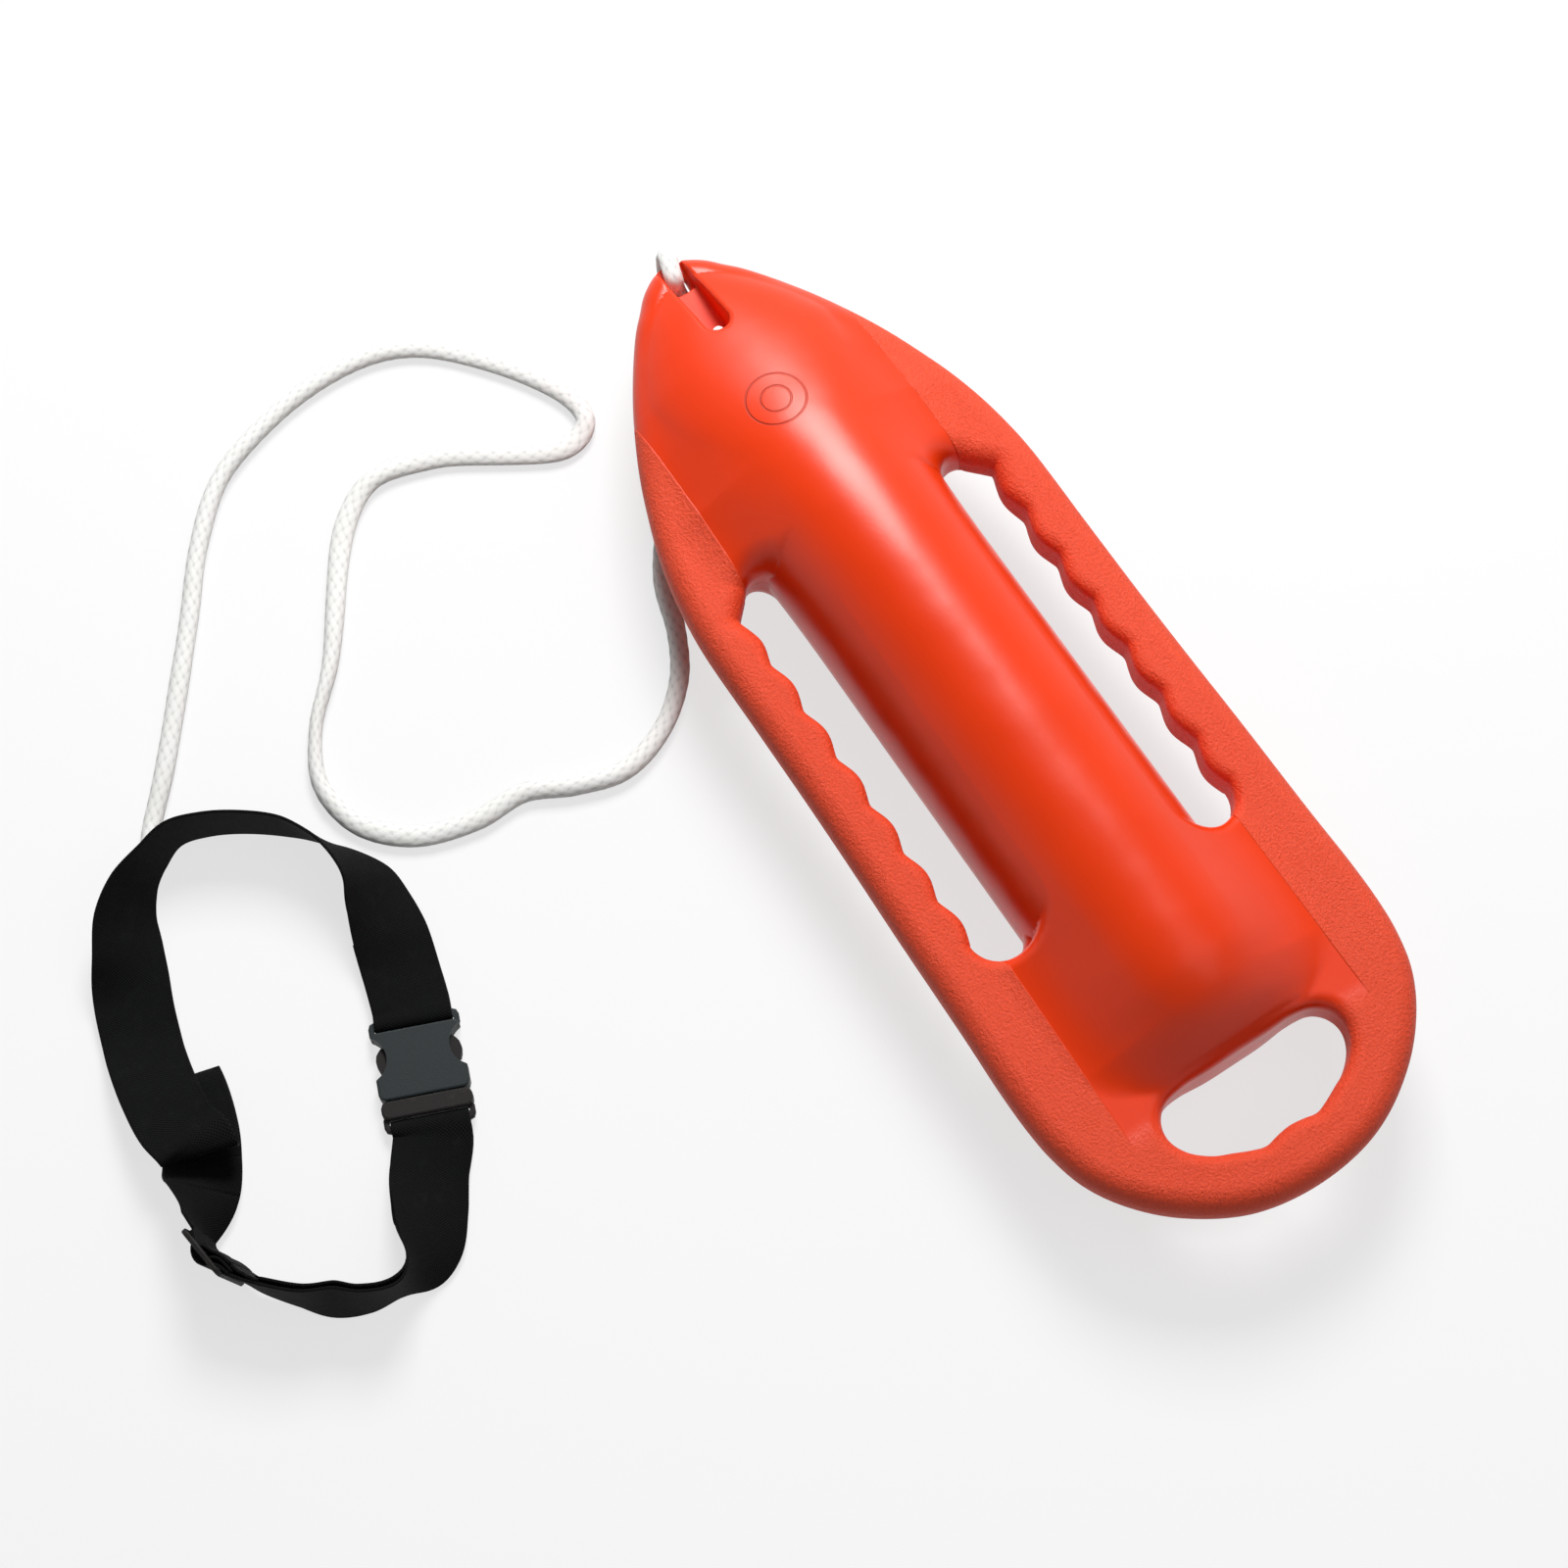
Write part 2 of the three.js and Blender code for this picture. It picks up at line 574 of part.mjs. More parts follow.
const foldShares = [
  [0.147, 0.233, 0.25, 0.24, 0.96, 0.12], [0.075, 0.244, 0.417, 0.2, 0.97, 0.1], [0, 0.248, 0.54, 0.28, 0.96, 0.06],
  [-0.053, 0.238, 0.594, 0.4, 0.91, 0.04], [-0.0745, 0.239, 0.51, 0.42, 0.9, 0.02],
  [-0.058, 0.234, 0.427, 0.42, 0.9, 0], [-0.022, 0.219, 0.365, 0.36, 0.93, 0], [0.037, 0.204, 0.28, 0.24, 0.97, 0],
  [0.094, 0.194, 0.22, 0.17, 0.98, 0], [0.119, 0.192, 0.13, 0.15, 0.99, 0], [0.094, 0.194, 0.04, 0.17, 0.98, 0],
  [0.037, 0.205, 0.03, 0.24, 0.97, 0], [-0.025, 0.223, 0.03, 0.34, 0.94, 0], [-0.067, 0.243, 0.06, 0.36, 0.93, 0.06],
];
const sliderSideShares = [[-0.131, 0.274, 0.36, 0.2, 0.75, 0.63]];
const lowerShares = [
  [-0.412, 0.222, 0.55, 0.08, 0.07, 0.99], [-0.452, 0.171, 0.5, 0.19, -0.04, 0.98], [-0.484, 0.118, 0.5, 0.11, 0.12, 0.97],
  [-0.496, 0.055, 0.48, -0.03, 0.35, 0.93], [-0.486, 0.01, 0.44, 0.08, 0.5, 0.86],
  [-0.446, -0.036, 0.34, 0.3, 0.68, 0.66], [-0.392, -0.068, 0.24, 0.38, 0.8, 0.46],
  [-0.332, -0.1, 0.2, 0.42, 0.87, 0.24],
];

const buckleFrame = new THREE.Matrix4()
  .makeRotationZ(THREE.MathUtils.degToRad(buckleTurnDegrees))
  .setPosition(buckleX, buckleY, 0);
const socketBarX = -(socketLength + barSlotLength + barWidth / 2);
const tongueBarX = clearance + tongueBaseLength + barSlotLength + barWidth / 2;

// Strap round a buckle bar, from the lower layer to the upper one: shares of the layer pitch from the bar's centre.
const barTurnShares = [
  [4, -1.6], [1.2, -1.66], [-0.35, -1.72], [-1.5, -1.15], [-1.9, 0], [-1.5, 1.15], [-0.3, 1.75], [1.1, 1.66], [3.2, 1.1],
];

function barTurn(barX, away) {
  const across = new THREE.Vector3(0, -1, 0).transformDirection(buckleFrame);
  return barTurnShares.map(([x, z]) => {
    const point = new THREE.Vector3(barX + away * x * layerPitch, 0, buckleThickness / 2 + z * layerPitch);
    return { point: point.applyMatrix4(buckleFrame), across: across.clone() };
  });
}

// The slider's own frame: X along the strap, Y across it, Z out of the loop.
const sliderPlaceShares = [-0.26, 0.317, 0.595, 0, 0.15, 0.989];
const sliderStation = beltStations([sliderPlaceShares], 1)[0];
const sliderFrame = (() => {
  const along = new THREE.Vector3(-0.98, -0.12, 0.06);
  const across = sliderStation.across.clone();
  along.addScaledVector(across, -along.dot(across)).normalize();
  const face = new THREE.Vector3().crossVectors(along, across);
  return new THREE.Matrix4().makeBasis(along, across, face).setPosition(sliderStation.point);
})();

// The first station past the slider, as shares of the webbing's width from it, and the strap's width direction there.
const pastSliderShares = [-0.6, -0.26, 0.01];
const pastSliderAcross = new THREE.Vector3(0.03, 0.12, 0.99).normalize();
const pastSlider = {
  point: sliderStation.point.clone().addScaledVector(new THREE.Vector3(...pastSliderShares), webbingWidth),
  across: pastSliderAcross,
};

// Places in the slider: shares of its rail spacing along the strap, and of the layer pitch outwards.
const throughSliderShares = [
  [-1.17, -1.3], [-1, -1.38], [-0.62, -0.4], [-0.35, 1.5], [0, 2.35], [0.3, 1.85], [0.58, -0.2], [0.8, -1.1],
  [1, -1.4], [1.22, -1.6],
];
const sewnEndShares = [
  [1, -3.5], [0.75, -3.35], [0.38, -2.65], [0.12, -1.8], [-0.1, -1.45], [-0.25, -0.85], [-0.28, 0], [-0.235, 0.85],
  [-0.02, 1.34], [0.2, 1.05], [0.285, 0], [0.38, -1.25], [0.6, -2.2], [0.9, -2.45], [1, -2.5],
];

function sliderStations(rows) {
  const across = new THREE.Vector3(0, 1, 0).transformDirection(sliderFrame);
  return rows.map(([x, z]) => {
    const point = new THREE.Vector3((x * (sliderLength - sliderRail)) / 2, 0, z * layerPitch);
    return { point: point.applyMatrix4(sliderFrame), across: across.clone() };
  });
}

// The whole run of the belt from the socket's sewn end to the tongue, in one path that the lengths are cut from.
function beltPath() {
  const start = beltStations(socketSideShares, 1);
  const sewn = layerInside(start, layerPitch).reverse();
  const main = [
    ...sewn, ...barTurn(socketBarX, -1), ...start, ...beltStations([...rightSideShares, ...foldShares], 0),
  ];
  const adjust = [...beltStations(sliderSideShares, 0), ...sliderStations(throughSliderShares)];
  const outer = [pastSlider, ...beltStations(lowerShares, 1)];
  const back = layerInside([adjust[adjust.length - 1], ...outer], loosePitch).slice(1).reverse();
  const lower = [...outer, ...barTurn(tongueBarX, 1).reverse(), ...back, ...sliderStations([[1.45, -4.2]])];
  return {
    stations: [...main, ...adjust, ...lower],
    firstCut: main.length - 1,
    secondCut: main.length + adjust.length,
  };
}

function strapMain() {
  const { stations, firstCut } = beltPath();
  return strap(stations, webbingWidth, webbingThickness, 0, firstCut);
}

function strapAdjust() {
  const { stations, firstCut, secondCut } = beltPath();
  return strap(stations, webbingWidth, webbingThickness, firstCut, secondCut);
}

function strapLower() {
  const { stations, secondCut } = beltPath();
  return strap(stations, webbingWidth, webbingThickness, secondCut);
}

function strapEnd() {
  return strap(sliderStations(sewnEndShares), webbingWidth, webbingThickness);
}

// A plate with rounded rims: its outline is exact at mid height.
function roundedPlate(outline, low, high, round) {
  const geometry = new THREE.ExtrudeGeometry(new THREE.Shape(outline), {
    depth: high - low - 2 * round,
    bevelEnabled: true,
    bevelThickness: round,
    bevelSize: round,
    bevelOffset: -round,
    bevelSegments: 2,
  });
  return geometry.translate(0, 0, low + round);
}

function roundedRectangle(rearX, frontX, width, radius) {
  const outline = [];
  const corners = [[frontX, -1, -90], [frontX, 1, 0], [rearX, 1, 90], [rearX, -1, 180]];
  for (const [x, side, from] of corners) {
    const centreX = x === frontX ? x - radius : x + radius;
    const centreY = side * (width / 2 - radius);
    for (const turn of [0, 45, 90]) {
      const angle = THREE.MathUtils.degToRad(from + turn);
      outline.push(new THREE.Vector2(centreX + radius * Math.cos(angle), centreY + radius * Math.sin(angle)));
    }
  }
  return outline;
}

function block(rearX, frontX, width, low, high) {
  const geometry = new THREE.BoxGeometry(frontX - rearX, width, high - low);
  return geometry.translate((rearX + frontX) / 2, 0, (low + high) / 2);
}

// The thin frame with the strap slot and bar at the outer end of either buckle half.
function barFrame(rearX, frontX, slotRearX) {
  const low = (buckleThickness - barWidth) / 2;
  const plate = roundedRectangle(rearX, frontX, buckleWidth, buckleCornerRadius);
  const slot = roundedRectangle(slotRearX, slotRearX + barSlotLength, barSlotWidth, barWidth / 3);
  return solidOf(roundedPlate(plate, low, low + barWidth, edgeRound))
    .subtract(solidOf(prism(slot, low - cutOverrun, low + barWidth + cutOverrun)));
}

function buckleSocket() {
  const body = solidOf(roundedPlate(
    roundedRectangle(-socketLength, 0, buckleWidth, buckleCornerRadius), 0, buckleThickness, edgeRound));
  const cavity = solidOf(block(
    rearWall - socketLength, cutOverrun, buckleWidth - 2 * sideWall, faceWall, buckleThickness - faceWall));
  let solid = body.subtract(cavity);
  for (const side of [1, -1]) {
    const waist = disc(waistRadius, -cutOverrun, buckleThickness + cutOverrun, 40);
    solid = solid.subtract(solidOf(waist.translate(-waistBack, side * (buckleWidth / 2 + waistOutside), 0)));
  }
  const rear = -(socketLength + barSlotLength + barWidth);
  return geometryOf(solid.add(barFrame(rear, barWidth - socketLength, rear + barWidth)));
}

function buckleTongue() {
  const low = (buckleThickness - tongueBaseThickness) / 2;
  const front = clearance + tongueBaseLength;
  const base = solidOf(roundedPlate(
    roundedRectangle(clearance, front, buckleWidth, buckleCornerRadius), low, low + tongueBaseThickness, edgeRound));
  const guideLow = (buckleThickness - guideThickness) / 2;
  const guide = solidOf(roundedPlate(
    roundedRectangle(-guideLength, front - edgeRound, guideWidth, guideWidth / 3),
    guideLow, guideLow + guideThickness, edgeRound));
  const outer = front + barSlotLength + barWidth;
  const frame = barFrame(front - barWidth, outer, front);
  return geometryOf(base.add(guide).add(frame));
}

// A spring arm: slim at the root, with a rounded pad that shows in the socket's waist.
const armOutlineShares = [
  [0, 0, 0], [0.2, 0, 0], [0.45, 0, 0], [0.55, 0, 0.05], [0.565, 0, 0.6], [0.66, 0, 0.9], [0.77, 0, 1],
  [0.88, 0, 0.8], [0.95, 0, 0.4], [1, 0, 0], [1, 1, 0], [0.8, 1, 0], [0.6, 1, 0], [0, 1, 0],
];

function buckleArm(side) {
  const outerFace = buckleWidth / 2 - sideWall - 2 * clearance;
  const outline = armOutlineShares.map(([back, inner, pad]) => new THREE.Vector2(
    -armRootGap + clearance - back * armLength, side * (outerFace - inner * armThickness + pad * armPadReach)));
  const low = (buckleThickness - guideThickness) / 2;
  const ordered = side > 0 ? outline : outline.reverse();
  return new THREE.ExtrudeGeometry(new THREE.Shape(ordered), { depth: guideThickness, bevelEnabled: false })
    .translate(0, 0, low);
}

function slider() {
  const outline = roundedRectangle(-sliderLength / 2, sliderLength / 2, buckleWidth, buckleCornerRadius);
  const low = -sliderThickness / 2;
  let solid = solidOf(roundedPlate(outline, low, low + sliderThickness, edgeRound / 2));
  const slotLength = (sliderLength - 2 * sliderRail - sliderBar) / 2;
  for (const rear of [sliderBar / 2, -sliderBar / 2 - slotLength]) {
    const slot = roundedRectangle(rear, rear + slotLength, barSlotWidth, sliderRail / 3);
    solid = solid.subtract(solidOf(prism(slot, low - cutOverrun, low + sliderThickness + cutOverrun)));
  }
  return geometryOf(solid).applyMatrix4(sliderFrame);
}

// The sewn loop: up the strap's outer face, over the rope and back to the face. Shares of the rope's diameter.
const tabShares = [
  [-1.99, 0.34], [-1.92, 0.38], [-1.87, 0.5], [-1.82, 0.8], [-1.61, 1.33], [-1.1, 1.58], [-0.59, 1.33],
  [-0.37, 0.8], [-0.355, 0.42], [-0.2, 0.28], [0.3, 0.26], [1.1, 0.26],
];

function tabFrame() {
  const path = beltStations(rightSideShares, 0);
  const at = path[9];
  const along = path[10].point.clone().sub(path[8].point).normalize();
  const across = at.across.clone().addScaledVector(along, -at.across.dot(along)).normalize();
  const face = new THREE.Vector3().crossVectors(along, across);
  return new THREE.Matrix4().makeBasis(along, across, face).setPosition(at.point);
}

function ropeTab() {
  const frame = tabFrame();
  const across = new THREE.Vector3(1, 0, 0).transformDirection(frame);
  const stations = tabShares.map(([up, out]) => ({
    point: new THREE.Vector3(0, up * ropeDiameter, out * ropeDiameter).applyMatrix4(frame),
    across: across.clone(),
  }));
  return strap(stations, tabWidth, tabThickness);
}

// The stopper knot at the rope's belt end.
function beltKnot() {
  const profile = [
    [0, 0], [0.62, 0.04], [0.9, 0.22], [1, 0.5], [0.9, 0.78], [0.62, 0.96], [0, 1],
  ].map(([r, along]) => new THREE.Vector2(r * beltKnotRadius, along * beltKnotLength));
  const knot = new THREE.LatheGeometry(profile, 14);
  const end = new THREE.Vector3(...ropeRoute[ropeRoute.length - 1]);
  const before = new THREE.Vector3(...ropeRoute[ropeRoute.length - 2]);
  const along = end.clone().sub(before).normalize();
  knot.applyQuaternion(new THREE.Quaternion().setFromUnitVectors(new THREE.Vector3(0, 1, 0), along));
  const start = end.clone().addScaledVector(along, clearance);
  return knot.translate(start.x, start.y, start.z);
}

function inBuckle(geometry) {
  return geometry.applyMatrix4(buckleFrame);
}

const group = new THREE.Group();

function place(name, geometry, finish, parent = group) {
  const mesh = new THREE.Mesh(geometry, finish);
  mesh.name = name;
  parent.add(mesh);
  return mesh;
}

place('hull_shell', hullShell(), finishes.float);
place('vent_plug', ventPlug(), finishes.plug);
place('vent_seal', ventSeal(), finishes.seal);
place('rope_nose_loop', noseLoop(), finishes.rope);
place('rope_nose_knot', noseKnot(), finishes.rope);
place('tow_rope', towRope(), finishes.rope);
place('rope_belt_knot', beltKnot(), finishes.rope);
place('rope_tab', ropeTab(), finishes.webbing);
place('strap_main', strapMain(), finishes.webbing);
place('strap_adjust', strapAdjust(), finishes.webbing);
place('strap_lower', strapLower(), finishes.webbing);
place('strap_end', strapEnd(), finishes.webbing);
place('buckle_socket', inBuckle(buckleSocket()), finishes.buckle);
place('buckle_tongue', inBuckle(buckleTongue()), finishes.buckle);
place('buckle_arm_left', inBuckle(buckleArm(1)), finishes.buckle);
place('buckle_arm_right', inBuckle(buckleArm(-1)), finishes.buckle);
place('slider', slider(), finishes.buckle);

export default group;
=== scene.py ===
"""Rescue can buoy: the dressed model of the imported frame, with its camera, lights and floor."""
import math

import bpy
import numpy as np
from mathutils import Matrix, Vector


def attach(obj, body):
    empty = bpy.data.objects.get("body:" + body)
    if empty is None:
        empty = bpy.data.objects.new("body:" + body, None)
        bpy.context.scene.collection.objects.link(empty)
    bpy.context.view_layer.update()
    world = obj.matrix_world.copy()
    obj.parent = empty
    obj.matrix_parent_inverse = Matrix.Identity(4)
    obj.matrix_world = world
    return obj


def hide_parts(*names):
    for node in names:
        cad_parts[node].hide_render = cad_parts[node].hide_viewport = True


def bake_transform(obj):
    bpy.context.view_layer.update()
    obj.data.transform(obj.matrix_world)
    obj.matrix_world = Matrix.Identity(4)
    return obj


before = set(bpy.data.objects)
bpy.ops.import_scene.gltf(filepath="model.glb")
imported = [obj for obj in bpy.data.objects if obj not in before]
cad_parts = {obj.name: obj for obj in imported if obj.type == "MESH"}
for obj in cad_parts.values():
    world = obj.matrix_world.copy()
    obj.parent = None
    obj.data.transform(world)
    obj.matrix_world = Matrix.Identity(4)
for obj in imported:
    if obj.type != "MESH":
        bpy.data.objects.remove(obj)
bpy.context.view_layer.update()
MM = 0.001

CAMERA_PLACE = (-0.58393, 0.52507, 2.08452)
CAMERA_AIM = (0.01934, 0.12865, 0.064)
CAMERA_LENS = 81
CAMERA_SENSOR = 36


def facing(place, aim):
    """The rotation that turns a camera or a lamp at the place towards the aim."""
    return (Vector(aim) - Vector(place)).to_track_quat("-Z", "Y").to_euler()


camera_data = bpy.data.cameras.new("camera")
camera_data.lens = CAMERA_LENS
camera_data.sensor_width = CAMERA_SENSOR
camera = bpy.data.objects.new("camera", camera_data)
bpy.context.scene.collection.objects.link(camera)
camera.location = CAMERA_PLACE
camera.rotation_euler = facing(CAMERA_PLACE, CAMERA_AIM)
bpy.context.scene.camera = camera


# Curves and meshes. Lengths are in millimetres until a mesh is made.

def curve_at(points, places):
    """A centripetal Catmull-Rom curve through the points, at places counted in points from the first."""
    points = np.asarray(points, float)
    line = np.vstack([2 * points[0] - points[1], points, 2 * points[-1] - points[-2]])
    gaps = np.sum(np.diff(line, axis=0) ** 2, axis=1) ** 0.25
    k = np.clip(np.floor(places).astype(int), 0, len(points) - 2)
    w = (places - k)[:, None]
    d1 = gaps[k + 1]
    d1 = np.where(d1 < 1e-4, 1.0, d1)
    d0 = np.where(gaps[k] < 1e-4, d1, gaps[k])[:, None]
    d2 = np.where(gaps[k + 2] < 1e-4, d1, gaps[k + 2])[:, None]
    d1 = d1[:, None]
    p0, p1, p2, p3 = line[k], line[k + 1], line[k + 2], line[k + 3]
    m1 = ((p1 - p0) / d0 - (p2 - p0) / (d0 + d1) + (p2 - p1) / d1) * d1
    m2 = ((p2 - p1) / d1 - (p3 - p1) / (d1 + d2) + (p3 - p2) / d2) * d1
    return p1 + m1 * w + (3 * (p2 - p1) - 2 * m1 - m2) * w ** 2 + (2 * (p1 - p2) + m1 + m2) * w ** 3


def even_places(points, first, last, spacing):
    """Places along the curve that lie the spacing apart, and the distance along it to each."""
    dense = np.linspace(first, last, 40 * max(2, math.ceil(last - first)))
    steps = np.linalg.norm(np.diff(curve_at(points, dense), axis=0), axis=1)
    far = np.concatenate([[0], np.cumsum(steps)])
    count = max(3, round(far[-1] / spacing) + 1)
    along = np.linspace(0, far[-1], count)
    return np.interp(along, far, dense), along


def unit(vectors):
    """The vectors at length one."""
    return vectors / np.maximum(np.linalg.norm(vectors, axis=-1, keepdims=True), 1e-9)


def make_mesh(name, points, faces, uvs=None, relief=None):
    """A smooth-shaded object from millimetre points, with its UVs a face corner at a time, in metres."""
    mesh = bpy.data.meshes.new(name)
    mesh.from_pydata((np.asarray(points, float) * MM).tolist(), [], [list(f) for f in faces])
    if uvs is not None:
        layer = mesh.uv_layers.new(name="UVMap")
        layer.data.foreach_set("uv", (np.asarray(uvs, float) * MM).ravel())
    if relief is not None:
        attribute = mesh.attributes.new("relief", "FLOAT", "POINT")
        attribute.data.foreach_set("value", np.asarray(relief, np.float32))
    mesh.polygons.foreach_set("use_smooth", [True] * len(mesh.polygons))
    mesh.update()
    made = bpy.data.objects.new(name, mesh)
    bpy.context.scene.collection.objects.link(made)
    return made


def skin(name, rings, around, along, relief=None):
    """A closed tube through rings of points.

    Its UVs are around, for the corners of a ring, and along, for the rings. Relief is one value a point.
    """
    count, sides, _ = rings.shape
    first = np.arange(count - 1)[:, None] * sides
    j = np.arange(sides)[None, :]
    after = (j + 1) % sides
    quads = np.stack([first + j, first + after, first + sides + after, first + sides + j], axis=-1)
    u0 = np.broadcast_to(around[:-1], (count - 1, sides))
    u1 = np.broadcast_to(around[1:], (count - 1, sides))
    v0 = np.broadcast_to(along[:-1, None], (count - 1, sides))
    v1 = np.broadcast_to(along[1:, None], (count - 1, sides))
    corners = [np.stack(pair, -1) for pair in ((u0, v0), (u1, v0), (u1, v1), (u0, v1))]
    corners = np.stack(corners, axis=2).reshape(-1, 2)
    points = rings.reshape(-1, 3)
    middles = np.array([rings[0].mean(axis=0), rings[-1].mean(axis=0)])
    start, end = len(points), len(points) + 1
    last = (count - 1) * sides
    fans = [(start, (k + 1) % sides, k) for k in range(sides)]
    fans += [(end, last + k, last + (k + 1) % sides) for k in range(sides)]
    fan_uvs = []
    for k in range(sides):
        fan_uvs += [(around[k], along[0]), (around[k + 1], along[0]), (around[k], along[0])]
    for k in range(sides):
        fan_uvs += [(around[k], along[-1]), (around[k], along[-1]), (around[k + 1], along[-1])]
    heights = None
    if relief is not None:
        heights = np.concatenate([relief.ravel(), [relief[0].mean(), relief[-1].mean()]])
    faces = quads.reshape(-1, 4).tolist() + fans
    uvs = np.vstack([corners, np.array(fan_uvs)])
    return make_mesh(name, np.vstack([points, middles]), faces, uvs, heights)


# The rope

ROPE_ROUTE = [
    (299.5, 0, 34.2), (299, 2, 27), (295.5, 8, 19), (286.5, 20, 12), (274, 37, 7), (258, 56, 5.6),
    (230, 81, 5.6), (195.5, 105.5, 5.6), (160, 118, 5.6), (132, 134, 5.6), (109, 162, 5.6), (99, 196, 5.6),
    (107, 226, 5.6), (121, 256, 5.6), (122, 290, 5.6), (134, 328, 5.6), (161, 354, 5.6), (194, 360, 5.6),
    (228, 344, 5.6), (262, 313, 5.6), (341, 254, 5.6), (357, 224, 5.6), (348, 182, 5.6), (308, 108, 5.6),
    (316, 88, 5.6), (340, 88, 5.6), (408, 134, 5.6), (431, 168, 5.6), (437, 212, 5.6), (429, 262, 5.6),
    (411, 307, 5.6), (378, 342, 5.6), (337, 373, 5.6), (257, 437, 5.6), (229, 462, 5.6), (217, 470, 8.4),
    (207.2, 480, 10.4), (200.2, 490, 8.7), (193.8, 499, 6.9), (187.6, 507.2, 8.6),
]
ROPE_WIDTH = 12.6
ROPE_HEIGHT = 10.2
ROPE_HEIGHT_RANGE = (7.4, 11.2)
ROPE_WIDTHS = [
    (9, 12.6), (12, 12.4), (14, 13.4), (15, 14), (16, 13.6), (17, 10.6), (18, 8.8), (18.6, 9), (19.3, 12),
    (19.8, 14.4), (20.5, 13.8), (21, 12.6), (21.6, 14.4), (22.5, 15), (23.4, 14.8), (24, 12.4), (25, 13.6),
    (26, 14.8), (27, 13.6), (28.5, 12.4), (30, 11.6), (32, 12.4), (35, 12.6),
]
STRANDS = 6
STRAND_DEPTH = 0.35
STRAND_LAY = 1.7
BELT_KNOT_LENGTH = 18
BELT_KNOT_RADIUS = 8.2
BELT_KNOT_ROPE = 7.6
NOSE_KNOT_PLACE = (288.5, 0, 46.7)
NOSE_KNOT_LENGTH = 22
NOSE_KNOT_RADIUS = 12
NOSE_KNOT_ROPE = 8.6
KNOT_WRAPS = 3
KNOT_OVERLAP = 2
NOSE_BIGHT = [
    (310.8, 0, 43.1), (329, 0, 43.1), (345, -0.6, 43.1), (349, -1, 43.94), (357.4, -3, 48.7), (360.2, -4, 59),
    (360.6, -4.2, 64), (360.2, -4.2, 69), (358.5, -4, 72.9), (354.6, -3, 75), (345, 0.4, 74.6),
    (341.1, 1.2, 72.9), (339.4, 1.4, 69), (339.4, 1.2, 64), (338.6, 0.8, 59), (333.8, 0.4, 54),
    (329, 0, 53.4),
    (310.8, 0, 53.4),
]
NOSE_TAIL = [(289.5, 0, 46), (289.5, 0, 56), (289.4, 0, 66), (289, 0.4, 76), (288.4, 1, 86)]


def side_vectors(tangents, up):
    """A direction square to each tangent, level where the run allows and carried along where it stands up."""
    level = np.cross(tangents, up)
    size = np.linalg.norm(level, axis=1)
    share = np.clip((size - 0.2) / 0.3, 0, 1)
    sides = np.zeros_like(tangents)
    carried = level[-1] if size[-1] > 0.1 else np.cross(tangents[-1], (1.0, 0.0, 0.0))
    for k in range(len(tangents) - 1, -1, -1):
        carried = carried - carried.dot(tangents[k]) * tangents[k]
        carried = carried / np.linalg.norm(carried)
        if size[k] > 1e-6:
            flat = level[k] / size[k]
            if flat.dot(carried) < 0:
                flat = -flat
            carried = share[k] * flat + (1 - share[k]) * carried
            carried = carried / np.linalg.norm(carried)
        sides[k] = carried
    return sides


def braided_rope(name, route, width, height, up=(0.0, 0.0, 1.0), spacing=1.0, corners=36, widths=None):
    """A hollow braid along the route, its two crossing sets of strands in relief, and its ring centres.

    A table of widths by route point makes it lie flat and wide in one place and on edge in another.
    """
    places, along = even_places(route, 0, len(route) - 1, spacing)
    centres = curve_at(route, places)
    wide = np.full(len(places), float(width))
    tall = np.full(len(places), float(height))
    if widths is not None:
        rows = np.array(widths, float)
        kernel = np.hanning(23)[1:-1]
        padded = np.pad(np.interp(places, rows[:, 0], rows[:, 1]), 10, mode="edge")
        wide = np.convolve(padded, kernel / kernel.sum(), mode="valid")
        tall = np.clip(width + height - wide, *ROPE_HEIGHT_RANGE)
        centres[:, 2] += (tall - height) / 2
    tangents = unit(np.gradient(centres, axis=0))
    sides = side_vectors(tangents, np.array(up))
    lifts = np.cross(sides, tangents)
    turn = np.linspace(0, 2 * np.pi, corners, endpoint=False)
    girth = np.pi * (width + height) / 2
    pitch = girth / STRANDS * STRAND_LAY
    one = STRANDS * turn[None, :] / (2 * np.pi) + along[:, None] / pitch
    two = STRANDS * turn[None, :] / (2 * np.pi) - along[:, None] / pitch
    over = np.cos(np.pi * one) * np.cos(np.pi * two)
    first = np.sqrt(np.abs(np.cos(np.pi * one))) * (0.62 + 0.38 * over)
    second = np.sqrt(np.abs(np.cos(np.pi * two))) * (0.62 - 0.38 * over)
    relief = np.maximum(first, second)
    swell = 1 + 0.02 * np.sin(along / 23.0) + 0.015 * np.sin(along / 9.1 + 1.3)
    a = (wide / 2 * swell)[:, None] + STRAND_DEPTH * (relief - 0.9)
    b = (tall / 2 * swell)[:, None] + STRAND_DEPTH * (relief - 0.9)
    rings = (centres[:, None, :] + sides[:, None, :] * (a * np.cos(turn))[..., None]
             + lifts[:, None, :] * (b * np.sin(turn))[..., None])
    around = np.linspace(0, girth, corners + 1)
    return skin(name, rings, around, along, relief), centres


